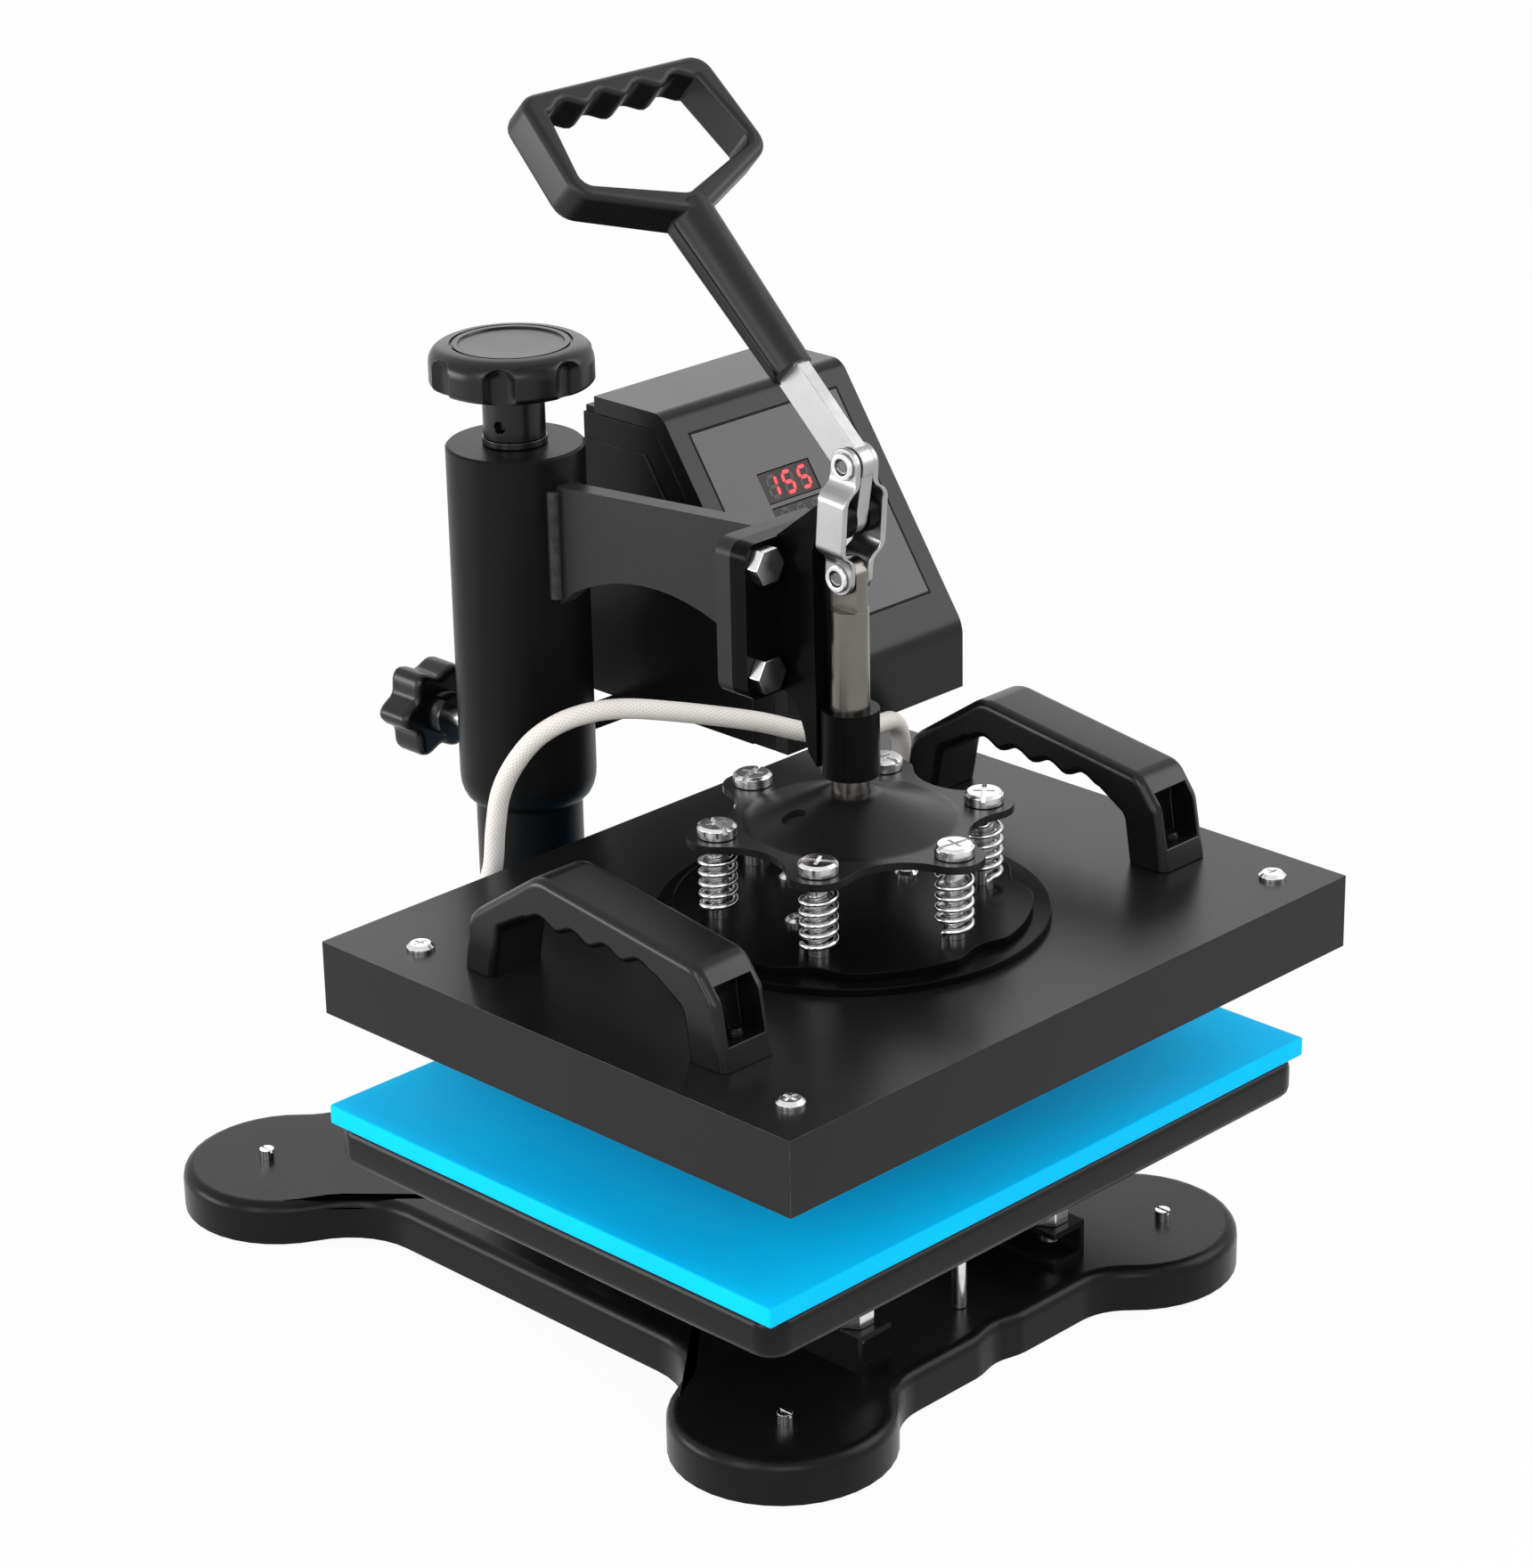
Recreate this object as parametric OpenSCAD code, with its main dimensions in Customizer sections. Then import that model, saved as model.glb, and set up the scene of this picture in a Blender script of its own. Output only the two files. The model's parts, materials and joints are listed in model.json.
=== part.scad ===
// Swing-away heat press: cast base, swinging head on a column, toggle lever,
// sprung heating platen, flat bed with a silicone pad and a control box.

/* [Bed] */
// Width of the heating platen, left to right
platen_w = 305; // [295:1:315]
// Depth of the heating platen, front to back
platen_d = 244; // [238:1:250]
// Height of the platen cover
platen_h = 29.5; // [28:0.5:32]
// Thickness of the silicone pad
pad_h = 8; // [6:0.5:10]
// Open height between the pad and the raised platen
press_gap = 42; // [42:0.5:46]
// Height of the bed tray above the table
tray_z = 71.5; // [69:0.5:76]

/* [Base] */
// Height of the top of the base casting above the table
base_h = 19; // [18:0.5:22]
// Radius of the four round corners of the base
lobe_r = 43; // [40:0.5:45]

/* [Column] */
// Distance from the plunger axis to the column axis
throat = 180; // [176:1:186]
// Outer radius of the fixed post
post_r = 21.5; // [20:0.5:22]

/* [Toggle] */
// Distance from the lever pivot to the link pivot
crank = 20.8; // [20.4:0.1:21]
// Length of the two links between their pivots
link_len = 43.6; // [43:0.1:44]
// Lean of the raised lever, in degrees back from upright
lever_lean = 47; // [42:1:52]

/* [Springs] */
// Full turns of each pressure spring
spring_turns = 5; // [4:1:6]
// Wire diameter of the pressure springs
wire_d = 2.2; // [1.8:0.1:2.4]

/* [Control box] */
// Width of the control box
box_w = 103; // [98:1:104]
// Height of the control box
box_h = 126.7; // [120:0.1:130]

/* [Hidden] */
// running clearance of a pin in its hole, and of a fixed screw in its hole
run = 0.05;
// clear distance between two parts that move past each other
free = 0.3;
round_fn = 64;
small_fn = 32;

// heights, from the table up
foot_drop = 1.5;
base_wall = 4;
base_round = 5;
rail_h = 15;
rail_t = 2.5;
tray_h = 16;
tray_top = tray_z + tray_h;
platen_z = tray_top + pad_h + press_gap;
top_z = platen_z + platen_h;

// plan positions
plunger_y = -80;
platen_y = -73.5;
pad_y = -62.7;
col_y = plunger_y + throat;

// base outline: round corners joined by concave fillets
front_lobe = [98, -135.5];
rear_lobe = [94, 152.5];
front_edge = -155.5;
rear_edge = 172.5;
side_edge = 92;
end_fillet = 25;
side_fillet = 35;
scoop_w = 14;
scoop_d = 2.5;
foot_spots = [[107, -145.5], [100, 158.5]];
foot_r = 13;
stud_r = 3;
stud_rise = 4.2;

// bed
rail_x = 64;
rail_w = 18;
rail_front = -141.5;
rail_back = 45;
tray_stud_r = 4;
tray_stud_x = 55;
tray_stud_ys = [-131.5, 6];
centre_stud = [0, -134];
centre_stud_r = 3;
nut_h = 6.5;
nut_r = 7.5;
tray_w = platen_w - 10;
tray_d = platen_d - 9;

// column
post_wall = 3;
sleeve_r = 27.5;
sleeve_z = top_z - 0.5;
sleeve_rise = 148;
sleeve_top = top_z + sleeve_rise;
sleeve_cap = 8;
post_rise = 113;
post_top = top_z + post_rise;
post_nut_h = 18;
screw_r = 6;
lock_z = top_z + 21.5;
lock_stud_r = 4;
lock_out = 43.5;
lock_socket = 15;
thrust_h = 3;
knob_socket = 19;
knob_rise = 171.8;
knob_r = 32.6;
knob_h = 16.8;
collar_r = 12.3;
flute_count = 7;
flute_r = 8.5;
flute_depth = 3.4;
flute_rise = 6;
flute_turn = -141;

// toggle pivots as [y, z]
rest_lean = 9.69;
pivot_rise = 158;
pivot = [plunger_y, top_z + pivot_rise];
elbow = pivot + crank * [-sin(rest_lean), cos(rest_lean)];
toe = [plunger_y, elbow[1] - sqrt(pow(link_len, 2) - pow(elbow[0] - plunger_y, 2))];
link_lean = asin((plunger_y - elbow[0]) / link_len);
pin_r = 4;
bar_half = 3;
ear_in = 3.3;
ear_out = 8.3;
ear_r = 8;
link_t = 2.5;
neck_in = 3.3;
bulge_in = 9.2;
link_r = 6.8;
rivet_r = 5.2;
rivet_h = 1.6;

// plunger and bracket
plunger_r = 7.4;
bush_r = 11;
bush_z = top_z + 57;
bush_h = 26;
flange_back = -37;
flange_mid = -44.5;
flange_front = -52.5;
flange_lo = top_z + 85;
flange_hi = top_z + 146;
rib_front = -69.5;
bolt_x = 18;
bolt_zs = [top_z + 95, top_z + 137.5];
bolt_r = 4;
bolt_hole_r = 4.2;
bolt_head = 5.3;
arm_t = 8;
arch_rise = 19;

// platen head
disc_h = 3;
disc_r = 75;
upper_disc_r = 68;
spring_z = top_z + 2 * disc_h;
spring_len = 29.5;
spider_z = spring_z + spring_len;
spider_h = 3;
lobe_ring = 52;
spider_lobe = 11.5;
spider_neck = 45;
dome_r = 44;
dome_rise = 11.5;
spider_hole_r = 4.5;
spider_hole_ring = 24.4;
screw_head_r = 7.5;
screw_head_h = 4.5;
screw_shank_r = 4;
coil_r = 6.4;
cover_t = 1.2;
plate_h = 12;
cover_screw = [platen_w / 2 - 20.5, platen_d / 2 - 26];
handle_x = platen_w / 2 - 33.5;
handle_w = 26;
handle_y = platen_y;
handle_screw_r = 2.5;
handle_screw_ys = [-62, 60];
handle_foot = 66.5;
cable_r = 4;
cable_hole_r = cable_r + 1.2;
grommet_h = 3;
grommet_r = 8.5;
grommet_gap = 3;
gland_at = [handle_x - 1, handle_y + handle_foot + grommet_gap + grommet_r];

// control box
box_x = 53.5;
box_z = top_z + 25;
box_y = col_y - 94.3;
box_d = 112.4;
box_front_h = 27;
box_slope_d = 67.2;
skin = 2.5;
lip = 1.5;
box_back = box_y + box_d;
cover_back = box_back - 6.4;
slope_tilt = atan2(box_h - box_front_h, box_slope_d);
overlay_x = 9;
overlay_w = box_w - 2 * overlay_x;
overlay_s = 17;
overlay_l = 93;
overlay_t = 0.6;
temp_at = [33.5, 72.5];
temp_size = [29, 13];
time_at = [33.5, 61.5];
time_size = [29, 8.8];
key_spots = [[26, 42], [48, 42], [70, 42]];
key_r = 5;
key_rise = 1.4;
board_depth = 10;
board_in = 12;
board_s = 22;
board_l = 82;
board_t = 1.6;
board_back = board_depth + board_t + 1;
inlet_at = [75, 24];
inlet_size = [27, 20];
switch_at = [75, 62];
switch_size = [14, 21];
rocker_tilt = 10;
fuse_at = [45, 24];
fuse_r = 6.4;
gland_box = [18.5, 36];
gland_r = 5;
bar_h = 4;
bar_front = col_y - 9.3;
bar_d = 15.3;
bar_screw_r = 2.5;
bar_screw_spots = [for (x = [20, 60]) [box_x + x, bar_front + bar_d / 2]];

// Shared shapes

function unit(v) = v / norm(v);
function wrap(a) = a > 180 ? a - 360 : a <= -180 ? a + 360 : a;
// arc points from angle a to b; skip and drop leave out that many points at its two ends
function arc(c, r, a, b, n, skip = 0, drop = 0) = [for (i = [skip : n - drop])
  c + r * [cos(a + (b - a) * i / n), sin(a + (b - a) * i / n)]];

// corner b of a polygon replaced by an arc of radius r
function corner(a, b, c, r, n) =
  let (u = unit(a - b), v = unit(c - b), h = acos(u * v) / 2, m = b + unit(u + v) * r / sin(h))
  let (p = b + u * r / tan(h) - m, q = b + v * r / tan(h) - m, s = atan2(p[1], p[0]))
  arc(m, r, s, s + wrap(atan2(q[1], q[0]) - s), n);
function softened(pts, r, n = 4) = let (k = len(pts))
  [for (i = [0 : k - 1])
    each corner(pts[(i + k - 1) % k], pts[i], pts[(i + 1) % k], is_list(r) ? r[i] : r, n)];

// outline moved inward by d, for points in counter-clockwise order
function inset(pts, d) = let (k = len(pts))
  [for (i = [0 : k - 1])
    let (e = unit(pts[i] - pts[(i + k - 1) % k]), f = unit(pts[(i + 1) % k] - pts[i]))
    let (m = [-e[1], e[0]], n = [-f[1], f[0]])
    pts[i] + (m + n) * d / (1 + m * n)];
function raised(pts, z) = [for (p = pts) [p[0], p[1], z]];

function middle(pts) = [for (p = pts) 1] * pts / len(pts);

// solid through rings of points listed from the bottom up
module loft(rings) {
  n = len(rings[0]);
  m = len(rings);
  last = (m - 1) * n;
  polyhedron(
    points = concat([for (r = rings) each r], [middle(rings[0]), middle(rings[m - 1])]),
    faces = concat(
      [for (i = [0 : n - 1]) [i, (i + 1) % n, m * n]],
      [for (i = [0 : n - 1]) [last + (i + 1) % n, last + i, m * n + 1]],
      [for (k = [0 : m - 2]) for (i = [0 : n - 1])
        [k * n + i, (k + 1) * n + i, (k + 1) * n + (i + 1) % n]],
      [for (k = [0 : m - 2]) for (i = [0 : n - 1])
        [k * n + i, (k + 1) * n + (i + 1) % n, k * n + (i + 1) % n]]));
}

function settled(pts, low) = is_undef(low) ? pts : [for (p = pts) [p[0], max(p[1], low)]];

// outline as a slab of height h with both rims rounded by r; low keeps a flat foot at that level
module pillow(pts, h, r, steps = 3, low) {
  rise = [for (k = [0 : steps]) let (a = 90 * k / steps) r * [1 - sin(a), 1 - cos(a)]];
  loft(concat(
    [for (s = rise) raised(settled(inset(pts, s[0]), low), s[1])],
    [for (s = rise) raised(settled(inset(pts, s[1]), low), h - s[0])]));
}

// opening of outline pts through a slab of height h, flared by r at both faces
module flare(pts, h, r, steps = 3) {
  turn = [for (k = [0 : steps]) let (a = 90 * k / steps) r * [1 - sin(a), 1 - cos(a)]];
  lower = [for (s = turn) raised(inset(pts, -s[0]), s[1])];
  upper = [for (s = turn) raised(inset(pts, -s[1]), h - s[0])];
  loft(concat([raised(inset(pts, -r), -1)], lower, upper, [raised(inset(pts, -r), h + 1)]));
}

// slab across the machine: children drawn in [y, z]
module across(t) {
  rotate([90, 0, 90]) linear_extrude(t, center = true) children();
}

// slab facing front: children drawn in [x, z], from y back to y + t
module facing(y, t) {
  translate([0, y + t, 0]) rotate([90, 0, 0]) linear_extrude(t) children();
}

module pegs(r, z, h, spots, fn = small_fn) {
  for (p = spots) translate([p[0], p[1], z]) cylinder(r = r, h = h, $fn = fn);
}

function oblong(w, d) = [[-w, -d] / 2, [w, -d] / 2, [w, d] / 2, [-w, d] / 2];

module box_rounded(w, d, r) {
  polygon(softened(oblong(w, d), r, 6));
}

function four(p, y = 0) = [for (i = [-1, 1]) for (j = [-1, 1]) [i * p[0], y + j * p[1]]];
function ring(r, angles) = [for (a = angles) r * [cos(a), sin(a)] + [0, plunger_y]];
spring_angles = [for (k = [0 : 5]) 90 + 60 * k];
spring_spots = ring(lobe_ring, spring_angles);

// Base

base_feet_spots = [for (s = foot_spots) each [[s[0], s[1]], [-s[0], s[1]]]];

function lobe_turn(c, e, across_y) = across_y
  ? [c[0] - sqrt(pow(lobe_r + end_fillet, 2) - pow(abs(e - c[1]) + end_fillet, 2)), e]
  : [e, sqrt(pow(lobe_r + side_fillet, 2) - pow(e + side_fillet - c[0], 2))];

// right half of the base outline, moved inward by i, from the front middle round to the back
function base_half(i) =
  let (a = [lobe_turn(front_lobe, front_edge, true)[0], front_edge - end_fillet])
  let (b = [side_edge + side_fillet, front_lobe[1] + lobe_turn(front_lobe, side_edge, false)[1]])
  let (c = [side_edge + side_fillet, rear_lobe[1] - lobe_turn(rear_lobe, side_edge, false)[1]])
  let (d = [lobe_turn(rear_lobe, rear_edge, true)[0], rear_edge + end_fillet])
  let (ta = atan2(a[1] - front_lobe[1], a[0] - front_lobe[0]))
  let (tb = atan2(b[1] - front_lobe[1], b[0] - front_lobe[0]))
  let (tc = atan2(c[1] - rear_lobe[1], c[0] - rear_lobe[0]))
  let (td = atan2(d[1] - rear_lobe[1], d[0] - rear_lobe[0]))
  concat(
    [for (k = [1 : 4]) [k * scoop_w / 4, front_edge + i + scoop_d * (1 + cos(45 * k)) / 2]],
    arc(a, end_fillet + i, 90, ta + 180, 6, 0, 1),
    arc(front_lobe, lobe_r - i, ta, tb, 22),
    arc(b, side_fillet + i, tb + 180, 180, 7, 1),
    arc(c, side_fillet + i, 180, tc + 180, 7, 0, 1),
    arc(rear_lobe, lobe_r - i, tc, td, 22),
    arc(d, end_fillet + i, td - 180, -90, 6, 1));
function base_outline(i) = let (h = base_half(i), n = len(h))
  concat([[0, front_edge + i + scoop_d]], h, [for (k = [n - 1 : -1 : 0]) [-h[k][0], h[k][1]]]);

// the skin runs from the ceiling of the hollow down its wall, out and up round the rim to the top
module base_plate() {
  rim = [for (k = [0 : 4]) base_round * [1 - cos(22.5 * k), sin(22.5 * k) - 1]];
  color([0.09, 0.09, 0.1]) difference() {
    loft(concat(
      [raised(base_outline(base_wall), base_h - base_wall), raised(base_outline(base_wall), foot_drop),
       raised(base_outline(0), foot_drop)],
      [for (s = rim) raised(base_outline(s[0]), base_h + s[1])]));
    pegs(stud_r + run, 0, base_h + 1, base_feet_spots);
  }
}

module base_feet() {
  color([0.05, 0.05, 0.05]) difference() {
    pegs(foot_r, 0, base_h - base_wall, base_feet_spots);
    pegs(stud_r + run, base_h - base_wall - 8, 9, base_feet_spots);
  }
}

module foot_studs() {
  color([0.75, 0.75, 0.77]) difference() {
    pegs(stud_r, base_h - base_wall - 8, base_wall + 8 + stud_rise, base_feet_spots);
    for (p = base_feet_spots) translate([p[0], p[1], base_h + stud_rise])
      cube([1, 8, 2.4], center = true);
  }
}

module post() {
  color([0.08, 0.08, 0.09]) translate([0, col_y, base_h]) difference() {
    cylinder(r = post_r, h = post_top - base_h, $fn = round_fn);
    translate([0, 0, -1]) cylinder(r = post_r - post_wall, h = post_top - base_h + 2, $fn = round_fn);
  }
}

module post_nut() {
  color([0.7, 0.7, 0.72]) translate([0, col_y, post_top - post_nut_h]) difference() {
    cylinder(r = post_r - post_wall, h = post_nut_h, $fn = round_fn);
    translate([0, 0, -1]) cylinder(r = screw_r + run, h = post_nut_h + 2, $fn = round_fn);
  }
}

// Bed

rail_stud_spots = [for (y = tray_stud_ys) each [[tray_stud_x, y], [-tray_stud_x, y]]];

module rails() {
  length = rail_back - rail_front;
  color([0.1, 0.1, 0.11]) difference() {
    for (s = [0, 1]) mirror([s, 0, 0]) translate([rail_x - rail_w, rail_front, base_h]) difference() {
      cube([rail_w, length, rail_h]);
      translate([-1, -1, rail_t]) cube([rail_w - rail_t + 1, length + 2, rail_h - 2 * rail_t]);
    }
    pegs(tray_stud_r + run, base_h + rail_h - rail_t - 1, rail_t + 2, rail_stud_spots);
  }
}

module tray() {
  plan = softened(oblong(tray_w, tray_d), 10, 5);
  color([0.09, 0.09, 0.1]) difference() {
    translate([0, pad_y, tray_z]) pillow(plan, tray_h, 4);
    pegs(tray_stud_r + run, tray_z - 1, tray_h / 2 + 1, rail_stud_spots);
    pegs(centre_stud_r + run, tray_z - 1, tray_h / 2 + 1, [centre_stud]);
  }
}

module tray_studs() {
  low = base_h + rail_h - rail_t - 6;
  color([0.75, 0.75, 0.77]) {
    pegs(tray_stud_r, low, tray_z + tray_h / 2 - low, rail_stud_spots);
    pegs(centre_stud_r, base_h, tray_z + tray_h / 2 - base_h, [centre_stud]);
  }
}

module tray_nuts() {
  color([0.78, 0.78, 0.8]) difference() {
    union() {
      pegs(nut_r, base_h + rail_h, nut_h, rail_stud_spots, 6);
      pegs(nut_r, tray_z - nut_h, nut_h, concat(rail_stud_spots, [centre_stud]), 6);
    }
    pegs(tray_stud_r + run, base_h + rail_h - 1, tray_z, rail_stud_spots);
    pegs(centre_stud_r + run, base_h + rail_h - 1, tray_z, [centre_stud]);
  }
}

module pad() {
  color([0.0, 0.62, 0.82]) translate([0, pad_y, tray_top + pad_h / 2])
    cube([platen_w - 8, platen_d - 8, pad_h], center = true);
}

// Column and swinging arm

module thrust_ring() {
  color([0.8, 0.8, 0.82]) translate([0, col_y, sleeve_top + free]) difference() {
    cylinder(r = collar_r + 0.6, h = thrust_h - free, $fn = round_fn);
    translate([0, 0, -1]) cylinder(r = screw_r + 0.4, h = 5, $fn = round_fn);
  }
}

module sleeve() {
  bore = post_r + run;
  turn = sleeve_r - bore - 0.4;
  color([0.07, 0.07, 0.08]) difference() {
    translate([0, col_y, 0]) rotate_extrude($fn = round_fn) polygon(concat(
      [[bore, sleeve_z]],
      [for (k = [0 : 5]) [sleeve_r - turn * (1 - sin(18 * k)), sleeve_z + 2 * turn * (1 - cos(18 * k))]],
      [[sleeve_r, sleeve_top - 1], [sleeve_r - 1, sleeve_top], [screw_r + 0.4, sleeve_top],
       [screw_r + 0.4, sleeve_top - sleeve_cap], [bore, sleeve_top - sleeve_cap]]));
    translate([0, col_y, lock_z]) rotate([-90, 0, 0])
      cylinder(r = lock_stud_r + run, h = 40, $fn = small_fn);
  }
}

module flange_face() {
  difference() {
    translate([0, (flange_lo + flange_hi) / 2]) box_rounded(52, flange_hi - flange_lo, 6);
    for (x = [-bolt_x, bolt_x]) for (z = bolt_zs) translate([x, z])
      circle(r = bolt_hole_r, $fn = small_fn);
  }
}

module arm() {
  reach = col_y - sleeve_r - flange_back;
  under = [for (k = [0 : 14])
    [flange_back + reach * k / 14, flange_lo + 3 + arch_rise * pow(sin(180 * k / 14), 0.7)]];
  color([0.07, 0.07, 0.08]) difference() {
    union() {
      across(arm_t) polygon(concat(under, [[col_y - 20, flange_lo + 4], [col_y - 20, top_z + 136],
        [col_y - sleeve_r - 8, top_z + 137], [flange_back - 1, flange_hi - 1],
        [flange_back - 1, flange_lo + 3]]));
      // weld beads up both sides of the arm
      for (x = [-arm_t, arm_t] * 0.62) translate([x, col_y - sleeve_r + 1, flange_lo + 6])
        cylinder(r = 3.4, h = 44, $fn = small_fn);
      facing(flange_mid, flange_back - flange_mid) flange_face();
    }
    translate([0, col_y, 0]) cylinder(r = sleeve_r, h = 2 * top_z, $fn = round_fn);
  }
}

module bracket() {
  back = pivot - [flange_front, flange_hi];
  far = norm(back);
  tilt = atan2(back[1], back[0]) + 180 + acos(ear_r / far);
  crown = pivot + ear_r * [cos(tilt), sin(tilt)];
  chin = pivot + [6.5, -4.7];
  color([0.08, 0.08, 0.09]) difference() {
    union() {
      facing(flange_front, flange_mid - flange_front) flange_face();
      across(2 * ear_out) {
        polygon([[flange_front + 1, flange_hi], crown, pivot, chin, [rib_front, flange_hi - 2],
          [rib_front - 1, bush_z + bush_h], [rib_front - 1, bush_z + 2],
          [rib_front + 3.5, bush_z + 7], [rib_front + 5.5, bush_z + 15], [rib_front + 8.5, flange_lo - 5],
          [rib_front + 12.5, flange_lo - 1], [flange_front + 1, flange_lo + 1]]);
        translate(pivot) circle(r = ear_r, $fn = round_fn);
      }
      translate([0, plunger_y, bush_z]) cylinder(r = bush_r, h = bush_h, $fn = round_fn);
    }
    across(2 * ear_in) {
      translate(pivot) circle(r = 9.5, $fn = round_fn);
      translate([pivot[0] - 20, bush_z + bush_h + 8]) square([29, 90]);
    }
    translate([0, plunger_y, bush_z - 1])
      cylinder(r = plunger_r + run, h = bush_h + 2, $fn = round_fn);
    translate([-20, pivot[0], pivot[1]]) rotate([0, 90, 0])
      cylinder(r = pin_r + run, h = 40, $fn = small_fn);
  }
}

module bracket_bolts() {
  length = flange_back - flange_front - 1;
  color([0.8, 0.8, 0.82]) for (x = [-bolt_x, bolt_x]) for (z = bolt_zs)
    translate([x, flange_front, z]) {
      rotate([90, 0, 0]) cylinder(r = nut_r, h = bolt_head, $fn = 6);
      rotate([-90, 0, 0]) cylinder(r = bolt_r, h = length, $fn = small_fn);
    }
}

module pivot_pin() {
  color([0.78, 0.78, 0.8]) translate([-ear_out, pivot[0], pivot[1]]) rotate([0, 90, 0])
    cylinder(r = pin_r, h = 2 * ear_out, $fn = small_fn);
}

// Control box: x measured from its left side, s up the sloping face

module slope_at(p, depth = 0) {
  translate([box_x + p[0], box_y, box_z + box_front_h]) rotate([slope_tilt, 0, 0])
    translate([0, p[1], -depth]) children();
}

module rear_at(p) {
  translate([box_x + p[0], box_back, box_z + p[1]]) children();
}

function box_side(i) = let (n = i * tan(slope_tilt / 2), g = i * tan((90 - slope_tilt) / 2)) [
  [box_y + i, box_z], [box_y + i, box_z + box_front_h - g],
  [box_y + box_slope_d + n, box_z + box_h - i], [cover_back, box_z + box_h - i]];

// outline of a raised panel on the side walls, i in from the cover's outline
function side_panel(i) = let (o = box_side(i))
  [o[0], o[1], o[2], [box_back, box_z + box_h - i], [box_back, box_z]];

module box_bar() {
  color([0.08, 0.08, 0.09]) difference() {
    translate([0, bar_front, box_z - bar_h]) cube([box_x + 80, bar_d, bar_h]);
    translate([0, col_y, 0]) cylinder(r = sleeve_r, h = 2 * top_z, $fn = round_fn);
    pegs(bar_screw_r + run, box_z - bar_h - 1, bar_h + 2, bar_screw_spots);
  }
}

module box_screws() {
  color([0.7, 0.7, 0.72]) for (p = bar_screw_spots) translate([p[0], p[1], box_z - bar_h]) {
    cylinder(r = bar_screw_r, h = bar_h + skin + 3, $fn = small_fn);
    translate([0, 0, -3]) difference() {
      cylinder(r = 4.6, h = 3, $fn = small_fn);
      translate([0, 0, 0.4]) cube([1.2, 12, 2], center = true);
    }
  }
}

module box_shell() {
  x0 = box_x + lip;
  w = box_w - 2 * lip;
  top = box_z + box_h;
  o = box_side(skin);
  side = [o[0], o[1], o[2], [cover_back - 3, top - skin], [cover_back, top - 5], [box_back, top - 5],
    [box_back, box_z]];
  color([0.1, 0.1, 0.11]) difference() {
    union() {
      translate([x0 + w / 2, 0, 0]) across(w) polygon(side);
      translate([box_x + box_w / 2, 0, 0]) across(box_w) polygon(side_panel(7.4));
      translate([box_x + box_w / 2, 0, 0]) across(box_w + 1.6) polygon(side_panel(18.5));
    }
    translate([x0 + w / 2, 0, 0]) across(w - 2 * skin)
      polygon([[box_y, box_z + skin], [box_y, top], [cover_back - 3 - skin, top],
        [cover_back - 3 - skin, top - 5 - skin], [box_back - skin, top - 5 - skin],
        [box_back - skin, box_z + skin]]);
    rear_at(inlet_at) cube([inlet_size[0], 4 * skin, inlet_size[1]] + [0.2, 0, 0.2], center = true);
    rear_at(switch_at) cube([switch_size[0], 4 * skin, switch_size[1]] + [0.2, 0, 0.2], center = true);
    rear_at(fuse_at) rotate([90, 0, 0])
      cylinder(r = fuse_r + run, h = 4 * skin, center = true, $fn = small_fn);
    rear_at(gland_box) rotate([90, 0, 0])
      cylinder(r = gland_r + run, h = 4 * skin, center = true, $fn = small_fn);
    pegs(bar_screw_r + run, box_z - 1, skin + 2, bar_screw_spots);
  }
}

module window(p, size) {
  slope_at(p, skin + 1) translate([-0.2, -0.2, 0]) cube([size[0] + 0.4, size[1] + 0.4, skin + 2]);
}

module key_holes() {
  for (p = key_spots) slope_at(p, skin + 1) cylinder(r = key_r + free, h = skin + 2, $fn = small_fn);
}

module box_cover() {
  outer = box_side(0);
  inner = box_side(skin);
  band = concat(outer, [for (k = [3 : -1 : 0]) inner[k]]);
  cheek = concat(outer, [for (k = [3 : -1 : 0]) box_side(7)[k]]);
  color([0.11, 0.11, 0.12]) difference() {
    union() {
      translate([box_x + box_w / 2, 0, 0]) across(box_w) polygon(band);
      for (x = [lip / 2, box_w - lip / 2]) translate([box_x + x, 0, 0]) across(lip) polygon(cheek);
    }
    slope_at([overlay_x, overlay_s], overlay_t) translate([-0.1, -0.1, 0])
      cube([overlay_w + 0.2, overlay_l + 0.2, 2]);
    window(temp_at, temp_size);
    window(time_at, time_size);
    key_holes();
  }
}

module overlay() {
  color([0.16, 0.16, 0.18]) difference() {
    slope_at([overlay_x, overlay_s], overlay_t) cube([overlay_w, overlay_l, overlay_t]);
    window(temp_at, temp_size);
    window(time_at, time_size);
    key_holes();
  }
}

module display_block(p, size) {
  slope_at(p, board_depth) cube([size[0], size[1], board_depth - 0.4]);
}

module temp_display() {
  color([0.3, 0.02, 0.03]) display_block(temp_at, temp_size);
}

module time_display() {
  color([0.1, 0.05, 0.05]) display_block(time_at, time_size);
}

module control_board() {
  color([0.1, 0.35, 0.18]) {
    slope_at([board_in, board_s], board_depth + board_t) cube([box_w - 2 * board_in, board_l, board_t]);
    for (x = [board_in + 3, box_w - board_in - 3]) for (s = [board_s + 3, board_s + board_l - 3])
      slope_at([x, s], board_back) cylinder(r = 3, h = board_back - skin, $fn = small_fn);
  }
}

module mains_inlet() {
  color([0.06, 0.06, 0.07]) rear_at(inlet_at) difference() {
    union() {
      translate([0, -9, 0]) cube([inlet_size[0], 18, inlet_size[1]], center = true);
      translate([0, 1, 0]) cube([inlet_size[0] + 5, 2, inlet_size[1] + 5], center = true);
    }
    translate([0, -5, 0]) cube([22, 15, 14.5], center = true);
  }
  color([0.8, 0.75, 0.5]) rear_at(inlet_at) for (p = [[-6, 2], [6, 2], [0, 4.6]])
    translate([p[0], -7, p[1]]) cube([1.6, 11.2, 4], center = true);
}

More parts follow.
